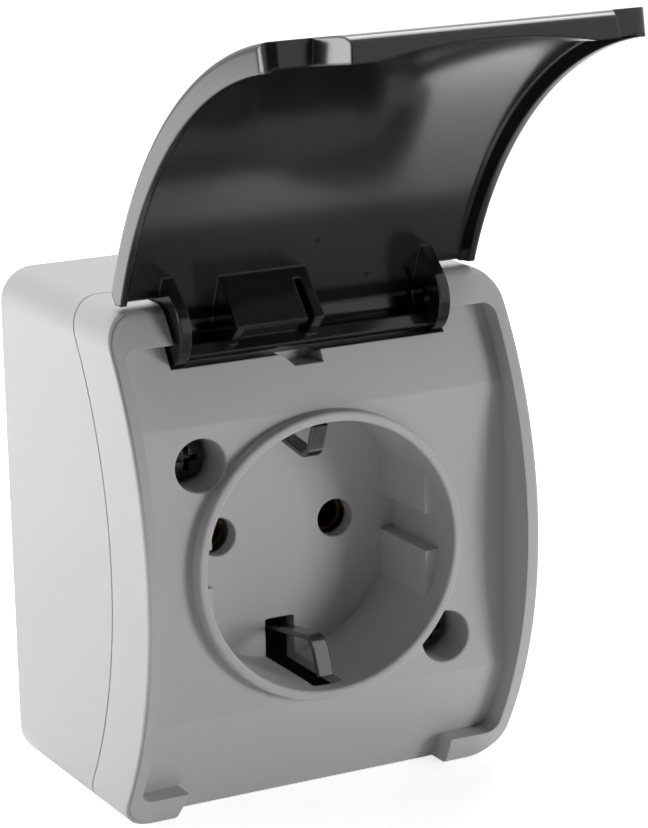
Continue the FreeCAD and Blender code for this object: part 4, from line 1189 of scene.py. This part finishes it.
# %% Room light
TOWARDS_CAMERA = (-0.60, -0.78, 0.18)
ROOM_PALE, ROOM_DARK = 0.2, 0.01
world = bpy.data.worlds.new("room")
bpy.context.scene.world = world
world.use_nodes = True
tree = world.node_tree
tree.nodes.clear()
place = tree.nodes.new("ShaderNodeTexCoord")
towards = tree.nodes.new("ShaderNodeVectorMath")
towards.operation = "DOT_PRODUCT"
towards.inputs[1].default_value = TOWARDS_CAMERA
tree.links.new(place.outputs["Generated"], towards.inputs[0])
ramp = tree.nodes.new("ShaderNodeMapRange")
ramp.interpolation_type = "SMOOTHSTEP"
ramp.inputs["From Min"].default_value = 0.25
ramp.inputs["From Max"].default_value = 0.85
ramp.inputs["To Min"].default_value = ROOM_PALE
ramp.inputs["To Max"].default_value = ROOM_DARK
tree.links.new(towards.outputs["Value"], ramp.inputs["Value"])
room = tree.nodes.new("ShaderNodeBackground")
tree.links.new(ramp.outputs["Result"], room.inputs["Strength"])
white = tree.nodes.new("ShaderNodeBackground")
white.inputs["Color"].default_value = (1, 1, 1, 1)
mix = tree.nodes.new("ShaderNodeMixShader")


def seen_ray(tree):
    """1 for what the camera sees directly, in a polished surface or through glass."""
    path = tree.nodes.new("ShaderNodeLightPath")
    first = tree.nodes.new("ShaderNodeMath")
    first.operation = "MAXIMUM"
    tree.links.new(path.outputs["Is Camera Ray"], first.inputs[0])
    tree.links.new(path.outputs["Is Glossy Ray"], first.inputs[1])
    second = tree.nodes.new("ShaderNodeMath")
    second.operation = "MAXIMUM"
    tree.links.new(first.outputs["Value"], second.inputs[0])
    tree.links.new(path.outputs["Is Transmission Ray"], second.inputs[1])
    return second.outputs["Value"]


tree.links.new(seen_ray(tree), mix.inputs["Fac"])
tree.links.new(room.outputs["Background"], mix.inputs[1])
tree.links.new(white.outputs["Background"], mix.inputs[2])
out = tree.nodes.new("ShaderNodeOutputWorld")
tree.links.new(mix.outputs["Shader"], out.inputs["Surface"])
bpy.context.scene.view_settings.view_transform = "Standard"
print("room from", ROOM_DARK, "to", ROOM_PALE)

# %% [markdown]
# Soft boxes light the object as in a studio: a strong one at the left, two above and behind, and a
# small weak one at the right. Area lamps give soft shadows, where a small lamp would give hard ones.
# The right one would show as a thin line in the lid's curl, so reflections don't see it.

# %% Soft boxes
def softbox(name, place, aim, side, power):
    lamp = bpy.data.lights.new(name, "AREA")
    lamp.shape = "RECTANGLE"
    lamp.size, lamp.size_y = side, side
    lamp.energy = power
    holder = bpy.data.objects.new(name, lamp)
    holder.location = place
    holder.rotation_euler = (Vector(aim) - Vector(place)).to_track_quat("-Z", "Y").to_euler()
    holder.visible_camera = False
    bpy.context.scene.collection.objects.link(holder)
    return holder


softbox("left_box", (-0.80, 0.20, 0.10), (0, -0.03, 0.02), 0.4, 4.7)
softbox("back_box", (0.10, 0.45, 0.70), (0, -0.03, 0.0), 0.4, 1.9)
softbox("top_box", (0.36, 0.30, 0.64), (0, -0.03, 0.0), 0.4, 3.0)
right_box = softbox("right_box", (0.28, -0.46, 0.03), (0, -0.03, 0.0), 0.16, 0.97)
right_box.visible_glossy = False
print("four soft boxes")

# %% [markdown]
# A photographer keeps a polished black moulding black with a dark card on the camera's side. Only
# reflections see this one, so it takes no light from the rest.

# %% Dark card
def flat_sheet(name, corners, grey):
    mesh = bpy.data.meshes.new(name)
    mesh.from_pydata(corners, [], [tuple(range(len(corners)))])
    paint, tree, shader = new_material(name + "_paint")
    shader.inputs["Base Color"].default_value = (grey, grey, grey, 1)
    shader.inputs["Roughness"].default_value = 0.8
    mesh.materials.append(paint)
    sheet = bpy.data.objects.new(name, mesh)
    bpy.context.scene.collection.objects.link(sheet)
    return sheet


def level_sheet(name, x0, x1, y0, y1, z, grey):
    return flat_sheet(name, [(x0, y0, z), (x1, y0, z), (x1, y1, z), (x0, y1, z)], grey)


def only_mirrored(sheet):
    """Nothing but a reflection sees this sheet."""
    sheet.visible_camera = False
    sheet.visible_diffuse = False
    sheet.visible_transmission = False
    sheet.visible_shadow = False


middle = Vector((-0.36, -0.90, 0.26)) * 0.8
across = Vector((0.93, -0.37, 0)) * 0.6
upward = Vector((0.0, 0.25, 0.95)) * 0.45
dark_card = flat_sheet("dark_card", [middle - across - upward, middle + across - upward,
                                     middle + across + upward, middle - across + upward], 0.01)
only_mirrored(dark_card)
print("dark card", [round(c, 2) for c in middle])

# %% [markdown]
# A second card lies low behind the left side. It glows, and again only reflections see it: it
# paints a pale reflection on the polished rim of the lid, which gives the rim its pale side.

# %% Pale card
pale_card = level_sheet("pale_card", -0.50, -0.05, 0.12, 0.60, -0.03, 0.8)
shader = pale_card.data.materials[0].node_tree.nodes["Principled BSDF"]
# The glow paints a pale reflection on the lid's polished rim. Nothing else sees it.
shader.inputs["Emission Color"].default_value = (1, 1, 1, 1)
shader.inputs["Emission Strength"].default_value = 2.2
only_mirrored(pale_card)
print("pale card")

# %% [markdown]
# The third card is darker than the floor and lies just above it at the front right. Only reflections
# see it: it paints a darker reflection where the lid and the parts at the hinge would mirror the
# pale floor.

# %% Floor card
# A grey sheet that only reflections see: a painted, darker reflection of the floor.
floor_card = level_sheet("floor_card", -0.02, 0.60, -0.90, -0.06, -0.036, 0.45)
only_mirrored(floor_card)
print("floor card")

# %% [markdown]
# The floor is a pale sheet. For the camera, and in reflections, it glows a little as well, so it is
# white away from the object and still keeps the soft shadow under it.

# %% Floor
FLOOR_DROP = 0.0001
FLOOR_HALF = 3.0
FLOOR_GLOW = 0.75
floor_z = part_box("back_box")[0].z - FLOOR_DROP
floor = level_sheet("floor", -FLOOR_HALF, FLOOR_HALF, -FLOOR_HALF, FLOOR_HALF, floor_z, 0.85)
tree = floor.data.materials[0].node_tree
shader = tree.nodes["Principled BSDF"]
glow = tree.nodes.new("ShaderNodeMath")
glow.operation = "MULTIPLY"
glow.inputs[1].default_value = FLOOR_GLOW
tree.links.new(seen_ray(tree), glow.inputs[0])
shader.inputs["Emission Color"].default_value = (1, 1, 1, 1)
tree.links.new(glow.outputs["Value"], shader.inputs["Emission Strength"])
print("floor at", round(floor_z / MM, 1))
